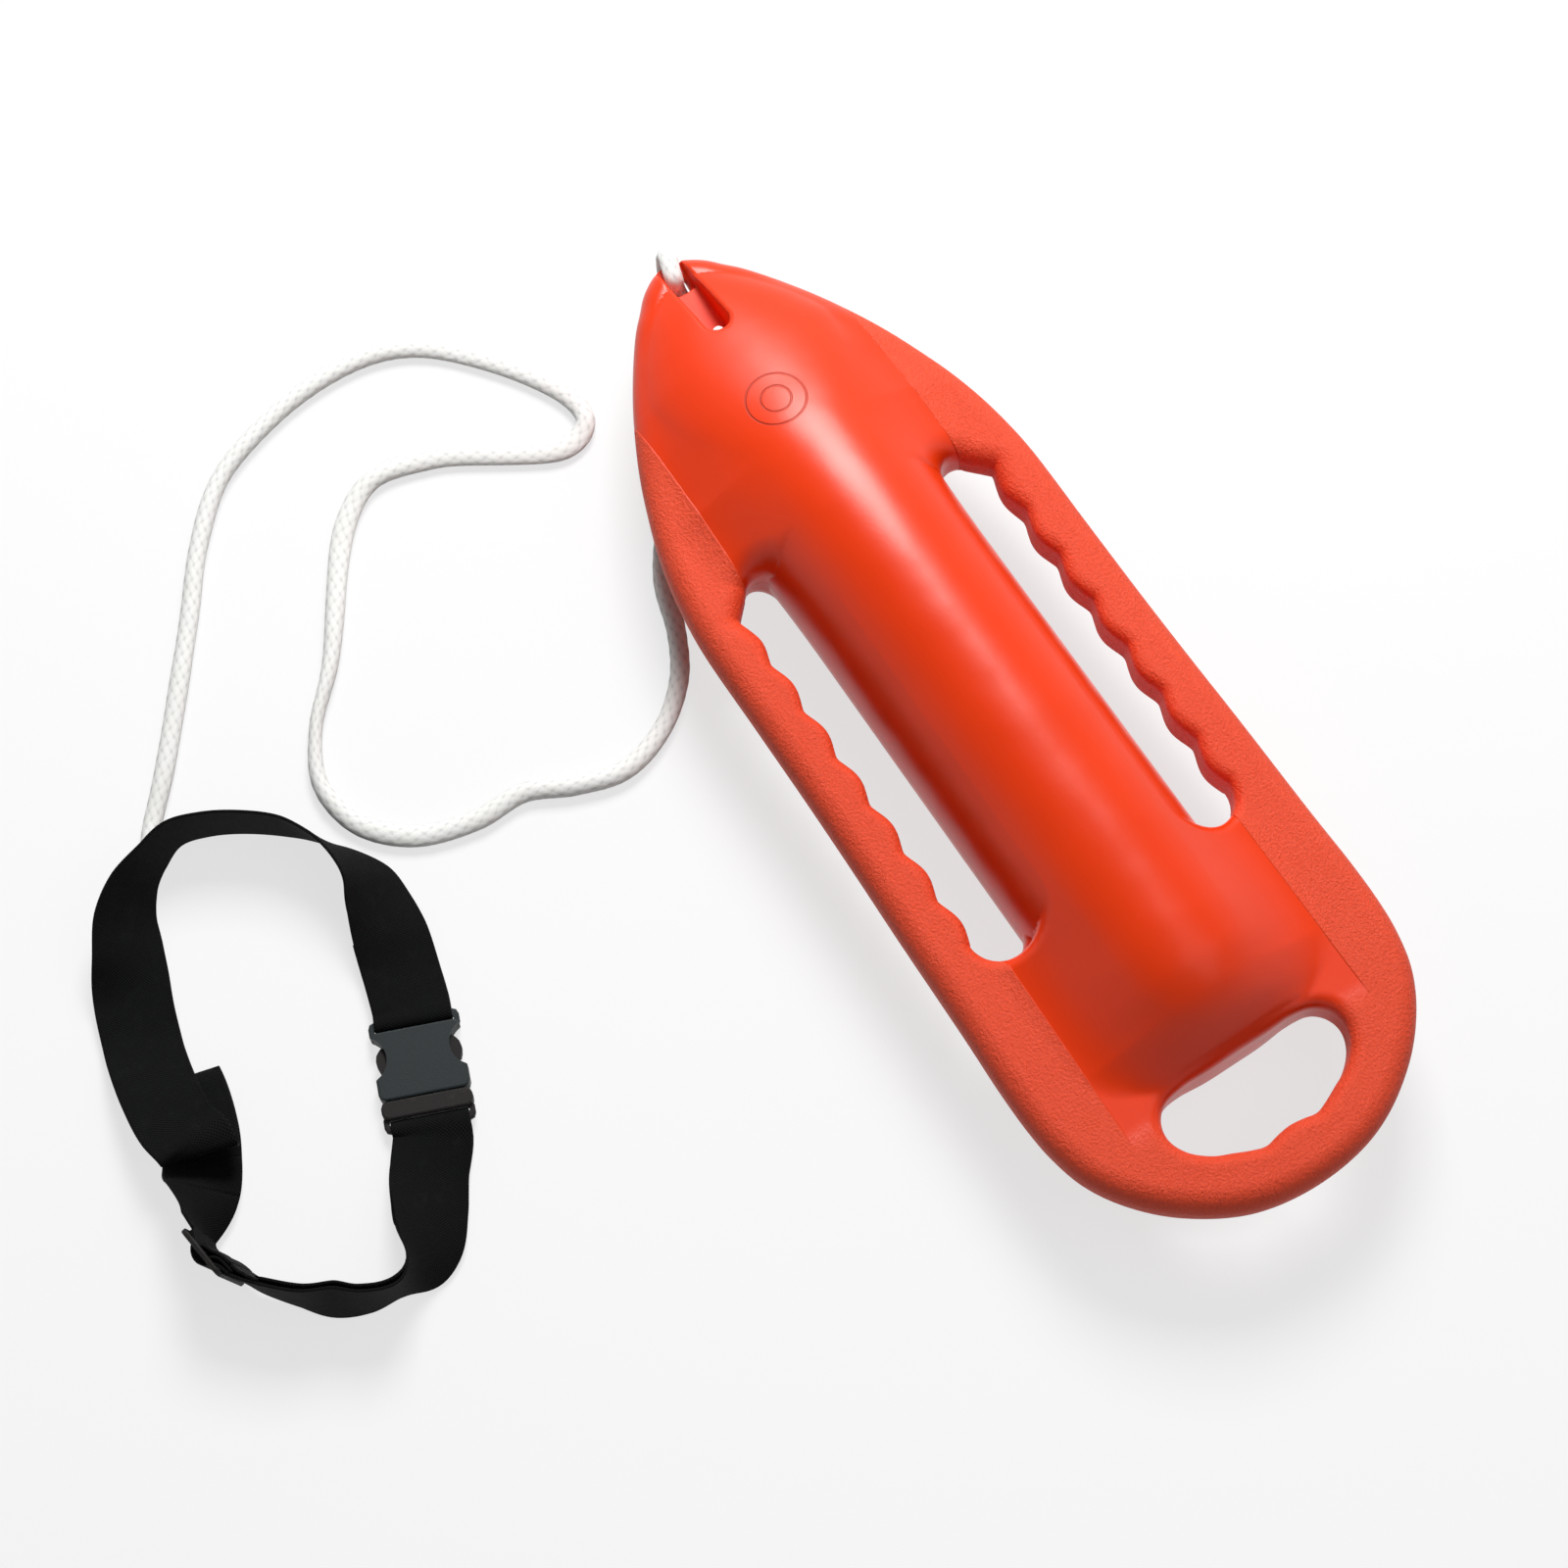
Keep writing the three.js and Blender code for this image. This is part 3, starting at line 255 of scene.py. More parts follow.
def barrel_knot(name, start, axis, length, radius, rope):
    """A stopper knot: a rope wound a few turns round its own line, inside the given length and radius."""
    axis = unit(np.array(axis, float))
    side = unit(np.cross(axis, (0.31, 0.95, 0.05)))
    other = np.cross(axis, side)
    reach = radius - rope / 2
    route = []
    steps = 12 * KNOT_WRAPS
    for k in range(-4, steps + 5):
        share = np.clip(k / steps, 0, 1)
        past = k - min(max(k, 0), steps)
        angle = 2 * np.pi * KNOT_WRAPS * share + 0.2 * past
        outward = reach * (1 - 0.22 * abs(past))
        height = rope / 2 + share * (length - rope)
        place = np.array(start) + axis * height + outward * (side * math.cos(angle) + other * math.sin(angle))
        route.append(place)
    return braided_rope(name, route, rope, rope, up=tuple(axis), spacing=1.1, corners=28)[0]


tow_rope, tow_path = braided_rope("rope_tow_braid", ROPE_ROUTE, ROPE_WIDTH, ROPE_HEIGHT, widths=ROPE_WIDTHS)
rope_end = np.array(ROPE_ROUTE[-1])
rope_heading = unit(rope_end - np.array(ROPE_ROUTE[-2]))
belt_knot = barrel_knot("rope_belt_stopper", rope_end - KNOT_OVERLAP * rope_heading, rope_heading,
                        BELT_KNOT_LENGTH + KNOT_OVERLAP, BELT_KNOT_RADIUS, BELT_KNOT_ROPE)
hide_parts("tow_rope")
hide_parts("rope_belt_knot")

nose_bight = braided_rope("rope_nose_bight", NOSE_BIGHT, 9, 12.6, up=(0.0, 1.0, 0.0))[0]
nose_knot = barrel_knot("rope_nose_stopper", NOSE_KNOT_PLACE, (1, 0, 0), NOSE_KNOT_LENGTH, NOSE_KNOT_RADIUS,
                        NOSE_KNOT_ROPE)
nose_tail = braided_rope("rope_nose_tail", NOSE_TAIL, 7.8, 7.8, up=(1.0, 0.0, 0.0), corners=24)[0]
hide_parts("rope_nose_loop")
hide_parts("rope_nose_knot")
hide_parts("rope_nose_knot")


# The float: a distance field in millimetres, Z from the middle plane, turned into a mesh

REST_HEIGHT = 64
PLATE_HALF = 16.5
PLATE_ROUND = 14
OUTLINE_HALF = [
    (354.6, 0), (353.9, 5), (351.6, 10), (346.9, 18.3), (341.8, 24.8), (334, 32), (325.2, 40.4),
    (308.9, 52.7),
    (285, 68.5), (261.4, 81.7), (237.2, 93.3), (213.3, 102.7), (190.3, 110.6), (166.4, 116.7), (142.9, 120.6),
    (118.8, 122.8), (57.6, 123.1), (0, 123.4), (-50.4, 124.3), (-100.8, 125.6), (-172.8, 126.8),
    (-213.8, 128), (-241.2, 127.5), (-261.4, 125.3), (-284.8, 119), (-307.8, 105.5), (-331.8, 81.9),
    (-353, 44.8), (-360, 0),
]
REAR_HOLE_HALF = [
    (-271.4, 0), (-271.4, 20.5), (-270.6, 39.7), (-273.3, 53.8), (-280.9, 61.7), (-291.4, 64), (-303, 59.4),
    (-313.3, 48), (-318.4, 37.1), (-323, 26.9), (-325.7, 18.3), (-324.1, 9.6), (-323, 0),
]
REAR_HOLE_EDGE = 9
SLOT_INNER = 62
SLOT_CLEAR = 51.2
SLOT_OUTER = 94.6
SLOT_FRONT = 139
SLOT_FRONT_ROUND = 11
SLOT_REAR = -151.7
SLOT_EDGE = 13
SLOT_CLEAR_EDGE = 8
SLOT_CLEAR_FRONT_EDGE = 17
LOBE_DEPTH = 4.5
LOBE_PITCH = 36.3
LOBE_START = -133
LOBES = 7
HULL_REAR = -290
HULL_FRONT = 352
HEIGHTS = [
    (-290, 4), (-282, 13), (-274, 21), (-266, 29.5), (-260, 37), (-250, 47.5), (-235, 57.5), (-215, 64),
    (-190, 66), (80, 66), (110, 65), (150, 62), (190, 56), (223, 49.5), (260, 41), (290, 33), (310, 27),
    (328, 20), (340, 14), (348, 8), (354, 3),
]
BREADTHS = [
    (-290, 30), (-282, 38), (-274, 44), (-266, 48.5), (-260, 51), (-250, 55), (-235, 59), (-215, 62),
    (-190, 63), (80, 63), (110, 63.5), (150, 65.5), (190, 70), (213, 74), (237, 77), (262, 75.5), (285, 66),
    (309, 50.5), (325, 38), (334, 29.5), (342, 22), (347, 16), (354, 5),
]
FILLET_SHARE = 0.85
FILLET_MOST = 34
FILLET_LEAST_REAR = 12
FILLET_LEAST_FRONT = 0.5
FILLET_LOST_AT_NOSE = 0.85
CHANNEL_REAR = 284.5
CHANNEL_FRONT = 500
CHANNEL_WIDTH = 17
BAR_HALF = 5
BAR_RISE = 3.5
BAR_FRONT = 330
POCKET_FRONT = 318.5
POCKET_WIDTH = 29
EYE_REAR = 329
EYE_FRONT = 345
EYE_WIDTH = 14
KNOT_BORE_X = 289.5
KNOT_BORE_RADIUS = 4.2
VENT_X = 190
VENT_SEAT_RADIUS = 9.6
VENT_SEAT_TOP = -52
VENT_BORE_RADIUS = 4.8
VENT_BORE_TOP = -36
FIELD_CORNER = (-366.0, -135.0, -68.0)
GRID_STEP = 2.0
TABLE_X = np.arange(-380, 381.0)
FLAT_X = np.arange(-372, 373.0)
FLAT_Y = np.arange(-2, 138.0)


def smooth_table(rows):
    """A gentle curve through the rows, as values at every place of TABLE_X."""
    xs, values = np.array(rows, float).T
    slopes = np.diff(values) / np.diff(xs)
    ends = np.concatenate([[slopes[0]], slopes, [slopes[-1]]])
    product = ends[:-1] * ends[1:]
    total = np.where(product > 0, ends[:-1] + ends[1:], 1)
    tangent = np.where(product > 0, 2 * product / total, 0)
    inside = np.clip(TABLE_X, xs[0], xs[-1])
    k = np.clip(np.searchsorted(xs, inside, side="right") - 1, 0, len(xs) - 2)
    gap = xs[k + 1] - xs[k]
    t = (inside - xs[k]) / gap
    line = (values[k] * (1 + 2 * t) * (1 - t) ** 2 + tangent[k] * gap * t * (1 - t) ** 2
            + values[k + 1] * t ** 2 * (3 - 2 * t) - tangent[k + 1] * gap * t ** 2 * (1 - t))
    kernel = np.exp(-0.5 * (np.arange(-9, 10) / 3.0) ** 2)
    padded = np.pad(line, 9, mode="edge")
    return np.convolve(padded, kernel / kernel.sum(), mode="valid")


HEIGHT_TABLE = smooth_table(HEIGHTS)
BREADTH_TABLE = smooth_table(BREADTHS)
SLOPE_TABLE = np.gradient((HEIGHT_TABLE + BREADTH_TABLE) / 2)


def closed_outline(half, spacing=3.0):
    """The whole outline from its half above the axis, smoothly through its points."""
    rows = np.array(half, float)
    points = np.vstack([rows, rows[-2:0:-1] * (1, -1)])
    loop = np.vstack([points[-3:], points, points[:3]])
    places, _ = even_places(loop, 3, 3 + len(points), spacing)
    return curve_at(loop, places)[:-1]


def slot_outline(inner):
    """The left hand slot from a given inner edge: finger lobes along the handle, round ends."""
    middle = (inner + SLOT_OUTER) / 2
    radius = (SLOT_OUTER - inner) / 2
    front_round = SLOT_FRONT_ROUND
    front_x = SLOT_FRONT - front_round
    front_y = SLOT_INNER + front_round
    outline = [(front_x, inner)]
    for angle in np.radians(np.linspace(-80, 60, 15)):
        outline.append((front_x + front_round * math.cos(angle), front_y + front_round * math.sin(angle)))
    for share in np.linspace(LOBES, 0, LOBES * 14, endpoint=False):
        x = LOBE_START + share * LOBE_PITCH
        outline.append((x, SLOT_OUTER - LOBE_DEPTH * abs(math.sin(np.pi * share)) ** 1.3))
    for angle in np.linspace(np.pi / 2, 3 * np.pi / 2, 17):
        outline.append((SLOT_REAR + radius + radius * math.cos(angle), middle + radius * math.sin(angle)))
    return np.array(outline)


def flat_distance(outline):
    """The signed distance from each point of the flat grid to a closed outline, negative inside."""
    px, py = [a.ravel() for a in np.meshgrid(FLAT_X, FLAT_Y, indexing="ij")]
    best = np.full(px.shape, np.inf)
    inside = np.zeros(px.shape, bool)
    for (ax, ay), (bx, by) in zip(outline, np.roll(outline, -1, axis=0)):
        ex, ey = bx - ax, by - ay
        t = np.clip(((px - ax) * ex + (py - ay) * ey) / (ex * ex + ey * ey), 0, 1)
        best = np.minimum(best, (px - ax - t * ex) ** 2 + (py - ay - t * ey) ** 2)
        if by != ay:
            inside ^= ((ay > py) != (by > py)) & (px < ax + (py - ay) * ex / ey)
    return (np.where(inside, -1, 1) * np.sqrt(best)).reshape(len(FLAT_X), len(FLAT_Y))


OUTLINE_FLAT = flat_distance(closed_outline(OUTLINE_HALF))
SLOT_FLAT = flat_distance(slot_outline(SLOT_INNER))
SLOT_CLEAR_FLAT = flat_distance(slot_outline(SLOT_CLEAR))
HOLE_FLAT = flat_distance(closed_outline(REAR_HOLE_HALF, 2.0))


def look_up(flat, x, side):
    """The flat distance between the grid's points."""
    i = np.clip(x - FLAT_X[0], 0, len(FLAT_X) - 1.001)
    j = np.clip(side - FLAT_Y[0], 0, len(FLAT_Y) - 1.001)
    i0, j0 = i.astype(int), j.astype(int)
    fi, fj = i - i0, j - j0
    return ((1 - fi) * ((1 - fj) * flat[i0, j0] + fj * flat[i0, j0 + 1])
            + fi * ((1 - fj) * flat[i0 + 1, j0] + fj * flat[i0 + 1, j0 + 1]))


def rise(x, start, end):
    """0 behind the start, 1 in front of the end, and evenly in between."""
    return np.clip((x - start) / (end - start), 0, 1)


def joined(a, b, radius):
    """Two solids with a round fillet where they meet."""
    fillet = np.hypot(np.maximum(radius - a, 0), np.maximum(radius - b, 0))
    return np.maximum(radius, np.minimum(a, b)) - fillet


def cut(a, b, radius):
    """Solid a without b, with the edge rounded."""
    edge = np.hypot(np.maximum(radius + a, 0), np.maximum(radius - b, 0))
    return np.minimum(-radius, np.maximum(a, -b)) + edge


def stadium(x, side, rear, front, width):
    """The flat distance to a slot with round ends."""
    radius = width / 2
    return np.hypot(x - np.clip(x, rear + radius, front - radius), side) - radius


def float_field(x, y, z):
    """About the signed distance to the float's surface, negative inside.

    The float is a hull, filleted to a plate with the handles, less the hand holes, the rope's channel,
    pocket and eye in the nose, the bores of the knot's tail and the vent, and a flat strip of the belly.
    """
    side = np.abs(y)
    height = np.interp(x, TABLE_X, HEIGHT_TABLE)
    breadth = np.interp(x, TABLE_X, BREADTH_TABLE)
    slope = np.interp(x, TABLE_X, SLOPE_TABLE)
    q = np.hypot(side / breadth, z / height) + 1e-6
    steep = np.hypot(side / breadth ** 2, z / height ** 2) + 1e-9
    hull = (q - 1) * q / steep / np.sqrt(1 + slope ** 2)
    hull = np.maximum(hull, np.maximum(HULL_REAR - x, x - HULL_FRONT))
    flat = look_up(OUTLINE_FLAT, x, side) + PLATE_ROUND
    up = np.abs(z) - (PLATE_HALF - PLATE_ROUND)
    beyond = np.hypot(np.maximum(flat, 0), np.maximum(up, 0))
    plate = np.minimum(np.maximum(flat, up), 0) + beyond - PLATE_ROUND
    least = np.where(x < 0, FILLET_LEAST_REAR, FILLET_LEAST_FRONT)
    fillet = np.clip(FILLET_SHARE * (height - PLATE_HALF), least, FILLET_MOST)
    fillet = fillet * (1 - FILLET_LOST_AT_NOSE * rise(x, 190, 270))
    clear_edge = SLOT_CLEAR_EDGE + (SLOT_CLEAR_FRONT_EDGE - SLOT_CLEAR_EDGE) * rise(x, 85, 125)
    solid = cut(joined(hull, plate, fillet), look_up(SLOT_CLEAR_FLAT, x, side), clear_edge)
    solid = np.minimum(solid, cut(plate, look_up(SLOT_FLAT, x, side), SLOT_EDGE))
    solid = np.minimum(solid, hull)
    solid = cut(solid, look_up(HOLE_FLAT, x, side), REAR_HOLE_EDGE)
    bar = BAR_HALF + np.where(z > 0, BAR_RISE, 0) * np.clip(BAR_FRONT - x, 0, 1)
    channel = np.maximum(stadium(x, side, CHANNEL_REAR, CHANNEL_FRONT, CHANNEL_WIDTH), bar - np.abs(z))
    solid = cut(solid, channel, 2.4)
    pocket = np.maximum(stadium(x, side, CHANNEL_REAR, POCKET_FRONT, POCKET_WIDTH), BAR_HALF + z)
    solid = cut(solid, pocket, 1.2)
    solid = cut(solid, stadium(x, side, EYE_REAR, EYE_FRONT, EYE_WIDTH), 1.4)
    solid = cut(solid, np.hypot(x - KNOT_BORE_X, side) - KNOT_BORE_RADIUS, 0.8)
    seat = np.maximum(np.hypot(x - VENT_X, side) - VENT_SEAT_RADIUS, z - VENT_SEAT_TOP)
    bore = np.maximum(np.hypot(x - VENT_X, side) - VENT_BORE_RADIUS, z - VENT_BORE_TOP)
    solid = cut(solid, np.minimum(seat, bore), 0.8)
    return np.maximum(solid, -REST_HEIGHT - z)


def surface_net(field, corner, step):
    """Points and faces of the surface where the field changes sign on a grid."""
    shape = np.array(field.shape)
    cells = shape - 1
    total = np.zeros((int(np.prod(cells)), 3))
    count = np.zeros(int(np.prod(cells)))
    faces = []
    for axis in range(3):
        low = np.take(field, range(shape[axis] - 1), axis=axis)
        high = np.take(field, range(1, shape[axis]), axis=axis)
        at = np.argwhere((low < 0) != (high < 0))
        a = low[tuple(at.T)]
        b = high[tuple(at.T)]
        place = at.astype(float)
        place[:, axis] += a / (a - b)
        others = [k for k in range(3) if k != axis]
        around = []
        for shift in ((0, 0), (-1, 0), (-1, -1), (0, -1)):
            cell = at.copy()
            cell[:, others[0]] += shift[0]
            cell[:, others[1]] += shift[1]
            flat = np.ravel_multi_index(np.clip(cell, 0, cells - 1).T, cells)
            for k in range(3):
                total[:, k] += np.bincount(flat, place[:, k], len(total))
            count += np.bincount(flat, minlength=len(total))
            around.append(flat)
        quads = np.stack(around, axis=1)
        turned = (a < 0) != (axis == 1)
        quads[~turned] = quads[~turned][:, ::-1]
        faces.append(quads)
    used = np.flatnonzero(count)
    index = np.full(len(total), -1)
    index[used] = np.arange(len(used))
    points = total[used] / count[used, None] * step + corner
    return points, index[np.vstack(faces)]


def field_slope(points, reach):
    """How the field rises along each axis at the points, measured over the reach to both sides."""
    slope = np.zeros_like(points)
    for axis in range(3):
        shift = np.zeros(3)
        shift[axis] = reach
        slope[:, axis] = (float_field(*(points + shift).T) - float_field(*(points - shift).T)) / (2 * reach)
    return slope


def float_body():
    """The float's mesh: a net over the field's grid, drawn onto the surface, with the field's own normals."""
    corner = np.array(FIELD_CORNER)
    counts = np.ceil(-2 * corner / GRID_STEP).astype(int) + 1
    axes = [corner[k] + GRID_STEP * np.arange(counts[k]) for k in range(3)]
    field = np.zeros(counts)
    for k, x in enumerate(axes[0]):
        y, z = np.meshgrid(axes[1], axes[2], indexing="ij")
        field[k] = float_field(np.full(y.size, x), y.ravel(), z.ravel()).reshape(y.shape)
    points, quads = surface_net(field, corner, GRID_STEP)
    for _ in range(3):
        slope = field_slope(points, 0.25)
        value = float_field(*points.T)
        step = np.clip(value / np.maximum(np.sum(slope ** 2, axis=1), 0.2), -GRID_STEP, GRID_STEP)
        points -= 0.9 * step[:, None] * slope
    normals = unit(field_slope(points, 0.5))
    made = make_mesh("float_moulding", points + (0, 0, REST_HEIGHT), quads.tolist())
    made.data.normals_split_custom_set_from_vertices(normals.tolist())
    return made


float_moulding = float_body()
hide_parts("hull_shell")


# The belt. A row of its loop is a place from the loop's centre, in shares of the loop's length and, for its
# height, of the webbing's width, and then the direction across the webbing.

WEBBING_WIDTH = 48
WEBBING_THICKNESS = 2
WEBBING_SPACING = 2.5
LAYER_PITCH = 2.4
LOOSE_PITCH = 3.6
LOOP_LENGTH = 320
BELT_CENTRE = (50, 465)
GROUND_GAP = 0.3
SOCKET_SIDE = [(0.056, -0.267, 0.1, 0.34, 0.93, 0.1), (0.113, -0.283, 0.155, 0.28, 0.92, 0.26)]
RIGHT_SIDE = [
    (0.176, -0.296, 0.29, 0.2, 0.8, 0.56), (0.234, -0.302, 0.396, 0.11, 0.63, 0.77),
    (0.295, -0.287, 0.467, -0.12, 0.35, 0.91), (0.343, -0.263, 0.49, -0.16, 0.13, 0.96),
    (0.397, -0.223, 0.508, 0, 0.1, 1), (0.452, -0.156, 0.51, -0.03, 0.03, 1),
    (0.487, -0.093, 0.51, -0.02, 0.03, 1), (0.503, -0.035, 0.508, 0.01, 0.08, 1),
    (0.485, 0.021, 0.496, 0.05, 0.23, 0.97), (0.457, 0.078, 0.438, 0.1, 0.51, 0.85),
    (0.413, 0.124, 0.352, 0.11, 0.72, 0.68), (0.352, 0.157, 0.26, 0.22, 0.82, 0.5),
    (0.277, 0.195, 0.1, 0.34, 0.92, 0.16), (0.195, 0.222, 0.11, 0.3, 0.95, 0.12),
]
FOLD = [
    (0.147, 0.233, 0.25, 0.24, 0.96, 0.12), (0.075, 0.244, 0.417, 0.2, 0.97, 0.1),
    (0, 0.248, 0.54, 0.28, 0.96, 0.06), (-0.053, 0.238, 0.594, 0.4, 0.91, 0.04),
    (-0.0745, 0.239, 0.51, 0.42, 0.9, 0.02), (-0.058, 0.234, 0.427, 0.42, 0.9, 0),
    (-0.022, 0.219, 0.365, 0.36, 0.93, 0), (0.03, 0.206, 0.28, 0.27, 0.96, 0),
    (0.07, 0.198, 0.22, 0.34, 0.94, 0), (0.092, 0.195, 0.13, 0.42, 0.91, 0),
    (0.07, 0.198, 0.04, 0.34, 0.94, 0), (0.03, 0.206, 0.03, 0.27, 0.96, 0),
    (-0.025, 0.223, 0.03, 0.34, 0.94, 0), (-0.067, 0.243, 0.06, 0.36, 0.93, 0.06),
]
SLIDER_SIDE = [(-0.131, 0.274, 0.36, 0.2, 0.75, 0.63)]
LOWER = [
    (-0.35, 0.278, 0.605, 0.03, 0.12, 0.99), (-0.412, 0.222, 0.55, 0.08, 0.07, 0.99),
    (-0.452, 0.171, 0.5, 0.19, -0.04, 0.98), (-0.484, 0.118, 0.5, 0.11, 0.12, 0.97),
    (-0.496, 0.055, 0.48, -0.03, 0.35, 0.93), (-0.486, 0.01, 0.44, 0.08, 0.5, 0.86),
    (-0.446, -0.036, 0.34, 0.3, 0.68, 0.66), (-0.392, -0.068, 0.24, 0.38, 0.8, 0.46),
    (-0.332, -0.1, 0.2, 0.42, 0.87, 0.24),
]
BUCKLE_TURN = math.radians(158)
BUCKLE_PLACE = np.array([-12.1, 408.9, 0])
BUCKLE_THICKNESS = 13
SOCKET_BAR_X = -48.9
TONGUE_BAR_X = 17.7
SLIDER_PLACE = (-0.26, 0.317, 0.595, 0, 0.15, 0.989)
SLIDER_HEADING = (-0.98, -0.12, 0.06)
SLIDER_REACH = 16

# Turns round a bar. A row is a place along the webbing, in layers at the buckle and in half lengths of the
# slider there, and a place off it, in layers.
BAR_TURN = [
    (4, -1.6), (1.2, -1.66), (-0.35, -1.72), (-1.5, -1.15), (-1.9, 0), (-1.5, 1.15), (-0.3, 1.75),
    (1.1, 1.66),
    (3.2, 1.1),
]
THROUGH_SLIDER = [
    (-1.17, -1.3), (-1, -1.38), (-0.62, -0.4), (-0.35, 1.5), (0, 2.35), (0.3, 1.85), (0.58, -0.2),
    (0.8, -1.1),
    (1, -1.4), (1.22, -1.6),
]
RETURN_END = [(1.5, -4.2), (1.06, -3.56)]
SEWN_END = [
    (1, -3.5), (0.75, -3.35), (0.38, -2.65), (0.12, -1.8), (-0.1, -1.45), (-0.25, -0.85), (-0.28, 0),
    (-0.235, 0.85), (-0.02, 1.34), (0.2, 1.05), (0.285, 0), (0.38, -1.25), (0.6, -2.2), (0.9, -2.45),
    (1.3, -2.6),
]

# The sewn loop for the rope. A row is a place up the belt and one out from it, in centimetres.
TAB = [
    (-1.99, 0.34), (-1.92, 0.38), (-1.87, 0.5), (-1.82, 0.8), (-1.61, 1.33), (-1.1, 1.58), (-0.59, 1.33),
    (-0.37, 0.8), (-0.355, 0.42), (-0.2, 0.28), (0.3, 0.26), (1.1, 0.26),
]
TAB_STATION = 9
TAB_WIDTH = 18
TAB_THICKNESS = 1.4
CENTIMETRE = 10


def belt_stations(rows, layers):
    """Points of the belt's middle and the directions across it, kept clear of the ground by some layers."""
    stations = []
    for a, b, c, x, y, z in rows:
        across = unit(np.array([x, y, z], float))
        flat = math.sqrt(max(0, 1 - across[2] ** 2))
        stack = WEBBING_THICKNESS / 2 + GROUND_GAP + layers * LOOSE_PITCH
        lowest = abs(across[2]) * WEBBING_WIDTH / 2 + flat * stack
        height = max(c * WEBBING_WIDTH, lowest)
        point = np.array([BELT_CENTRE[0] + a * LOOP_LENGTH, BELT_CENTRE[1] + b * LOOP_LENGTH, height])
        stations.append((point, across))
    return stations


def layer_inside(stations, distance):
    """The stations of a second layer, the given distance inside the first."""
    layer = []
    for k, (point, across) in enumerate(stations):
        before = stations[max(k - 1, 0)][0]
        after = stations[min(k + 1, len(stations) - 1)][0]
        face = unit(np.cross(unit(after - before), across))
        layer.append((point - distance * face, across))
    return layer


def in_buckle(point):
    """A point given in the buckle's own axes, where the buckle lies."""
    c, s = math.cos(BUCKLE_TURN), math.sin(BUCKLE_TURN)
    return np.array([c * point[0] - s * point[1], s * point[0] + c * point[1], point[2]]) + BUCKLE_PLACE


def bar_turn(bar_x, away):
    """The webbing's way round a buckle bar, from the lower layer to the upper one."""
    across = in_buckle((0, -1, 0)) - BUCKLE_PLACE
    return [(in_buckle((bar_x + away * x * LAYER_PITCH, 0, BUCKLE_THICKNESS / 2 + z * LAYER_PITCH)), across)
            for x, z in BAR_TURN]


slider_point, slider_across = belt_stations([SLIDER_PLACE], 1)[0]
slider_along = np.array(SLIDER_HEADING)
slider_along = unit(slider_along - slider_along.dot(slider_across) * slider_across)
slider_face = np.cross(slider_along, slider_across)


def slider_stations(rows):
    """Stations from rows in the slider's own axes."""
    return [(slider_point + x * SLIDER_REACH * slider_along + z * LAYER_PITCH * slider_face, slider_across)
            for x, z in rows]


def belt_path():
    """The belt's whole run, from its sewn end on the socket over the tongue's bar and back to the slider.

    With it come the places where it is cut: before the slider, behind it, and where it turns back.
    """
    start = belt_stations(SOCKET_SIDE, 1)
    sewn = layer_inside(start, LAYER_PITCH)[::-1]
    main = sewn + bar_turn(SOCKET_BAR_X, -1) + start + belt_stations(RIGHT_SIDE + FOLD, 0)
    adjust = belt_stations(SLIDER_SIDE, 0) + slider_stations(THROUGH_SLIDER)
    outer = belt_stations(LOWER, 1)
    back = layer_inside([adjust[-1]] + outer, LOOSE_PITCH)[1:][::-1]
    turn = bar_turn(TONGUE_BAR_X, 1)[::-1]
    lower = outer + turn + back + slider_stations(RETURN_END)
    first = len(main) - 1
    second = len(main) + len(adjust)
    return main + adjust + lower, first, second, second + len(outer) + len(turn)


def strap(name, stations, first=0, last=None, width=WEBBING_WIDTH, thickness=WEBBING_THICKNESS, columns=24):
    """Flat webbing swept along stations, with rounded selvedges, from one place on the path to another."""
    last = len(stations) - 1 if last is None else last
    points = np.array([s[0] for s in stations])
    widths = np.array([s[1] for s in stations])
    places, along = even_places(points, first, last, WEBBING_SPACING)
    centres = curve_at(points, places)
    ahead = curve_at(points, np.clip(places + 1e-3, 0, len(points) - 1))
    behind = curve_at(points, np.clip(places - 1e-3, 0, len(points) - 1))
    tangents = unit(ahead - behind)
    across = curve_at(widths, places)
    across = unit(across - np.sum(across * tangents, axis=1, keepdims=True) * tangents)
    face = np.cross(tangents, across)
    half = thickness / 2
    reach = width / 2 - half
    spread = np.linspace(-reach, reach, columns)
    curl = np.linspace(-np.pi / 2, np.pi / 2, 5)[1:-1]
    section = [(a, -half) for a in spread]
    section += [(reach + half * math.cos(c), half * math.sin(c)) for c in curl]
    section += [(a, half) for a in spread[::-1]]
    section += [(-reach - half * math.cos(c), -half * math.sin(c)) for c in curl]
    section = np.array(section)
    rings = (centres[:, None, :] + across[:, None, :] * section[None, :, 0, None]
             + face[:, None, :] * section[None, :, 1, None])
    lift = np.maximum(0, GROUND_GAP - rings[:, :, 2].min(axis=1))
    rings[:, :, 2] += lift[:, None]
    around = np.concatenate([section[:, 0], section[:1, 0]])
    return skin(name, rings, around, along)


belt, first_cut, second_cut, back_start = belt_path()
before_slider = first_cut + 0.9
past_slider = second_cut - 1
strap_main = strap("webbing_waist", belt, 0, first_cut)
strap_before = strap("webbing_before_slider", belt, first_cut, before_slider)
strap_adjust = strap("webbing_through_slider", belt, before_slider, past_slider)
strap_beside = strap("webbing_beside_slider", belt, past_slider, second_cut)
strap_lower = strap("webbing_to_tongue", belt, second_cut, back_start)
strap_return = strap("webbing_return_layer", belt, back_start, len(belt) - 1)
strap_end = strap("webbing_sewn_end", slider_stations(SEWN_END))

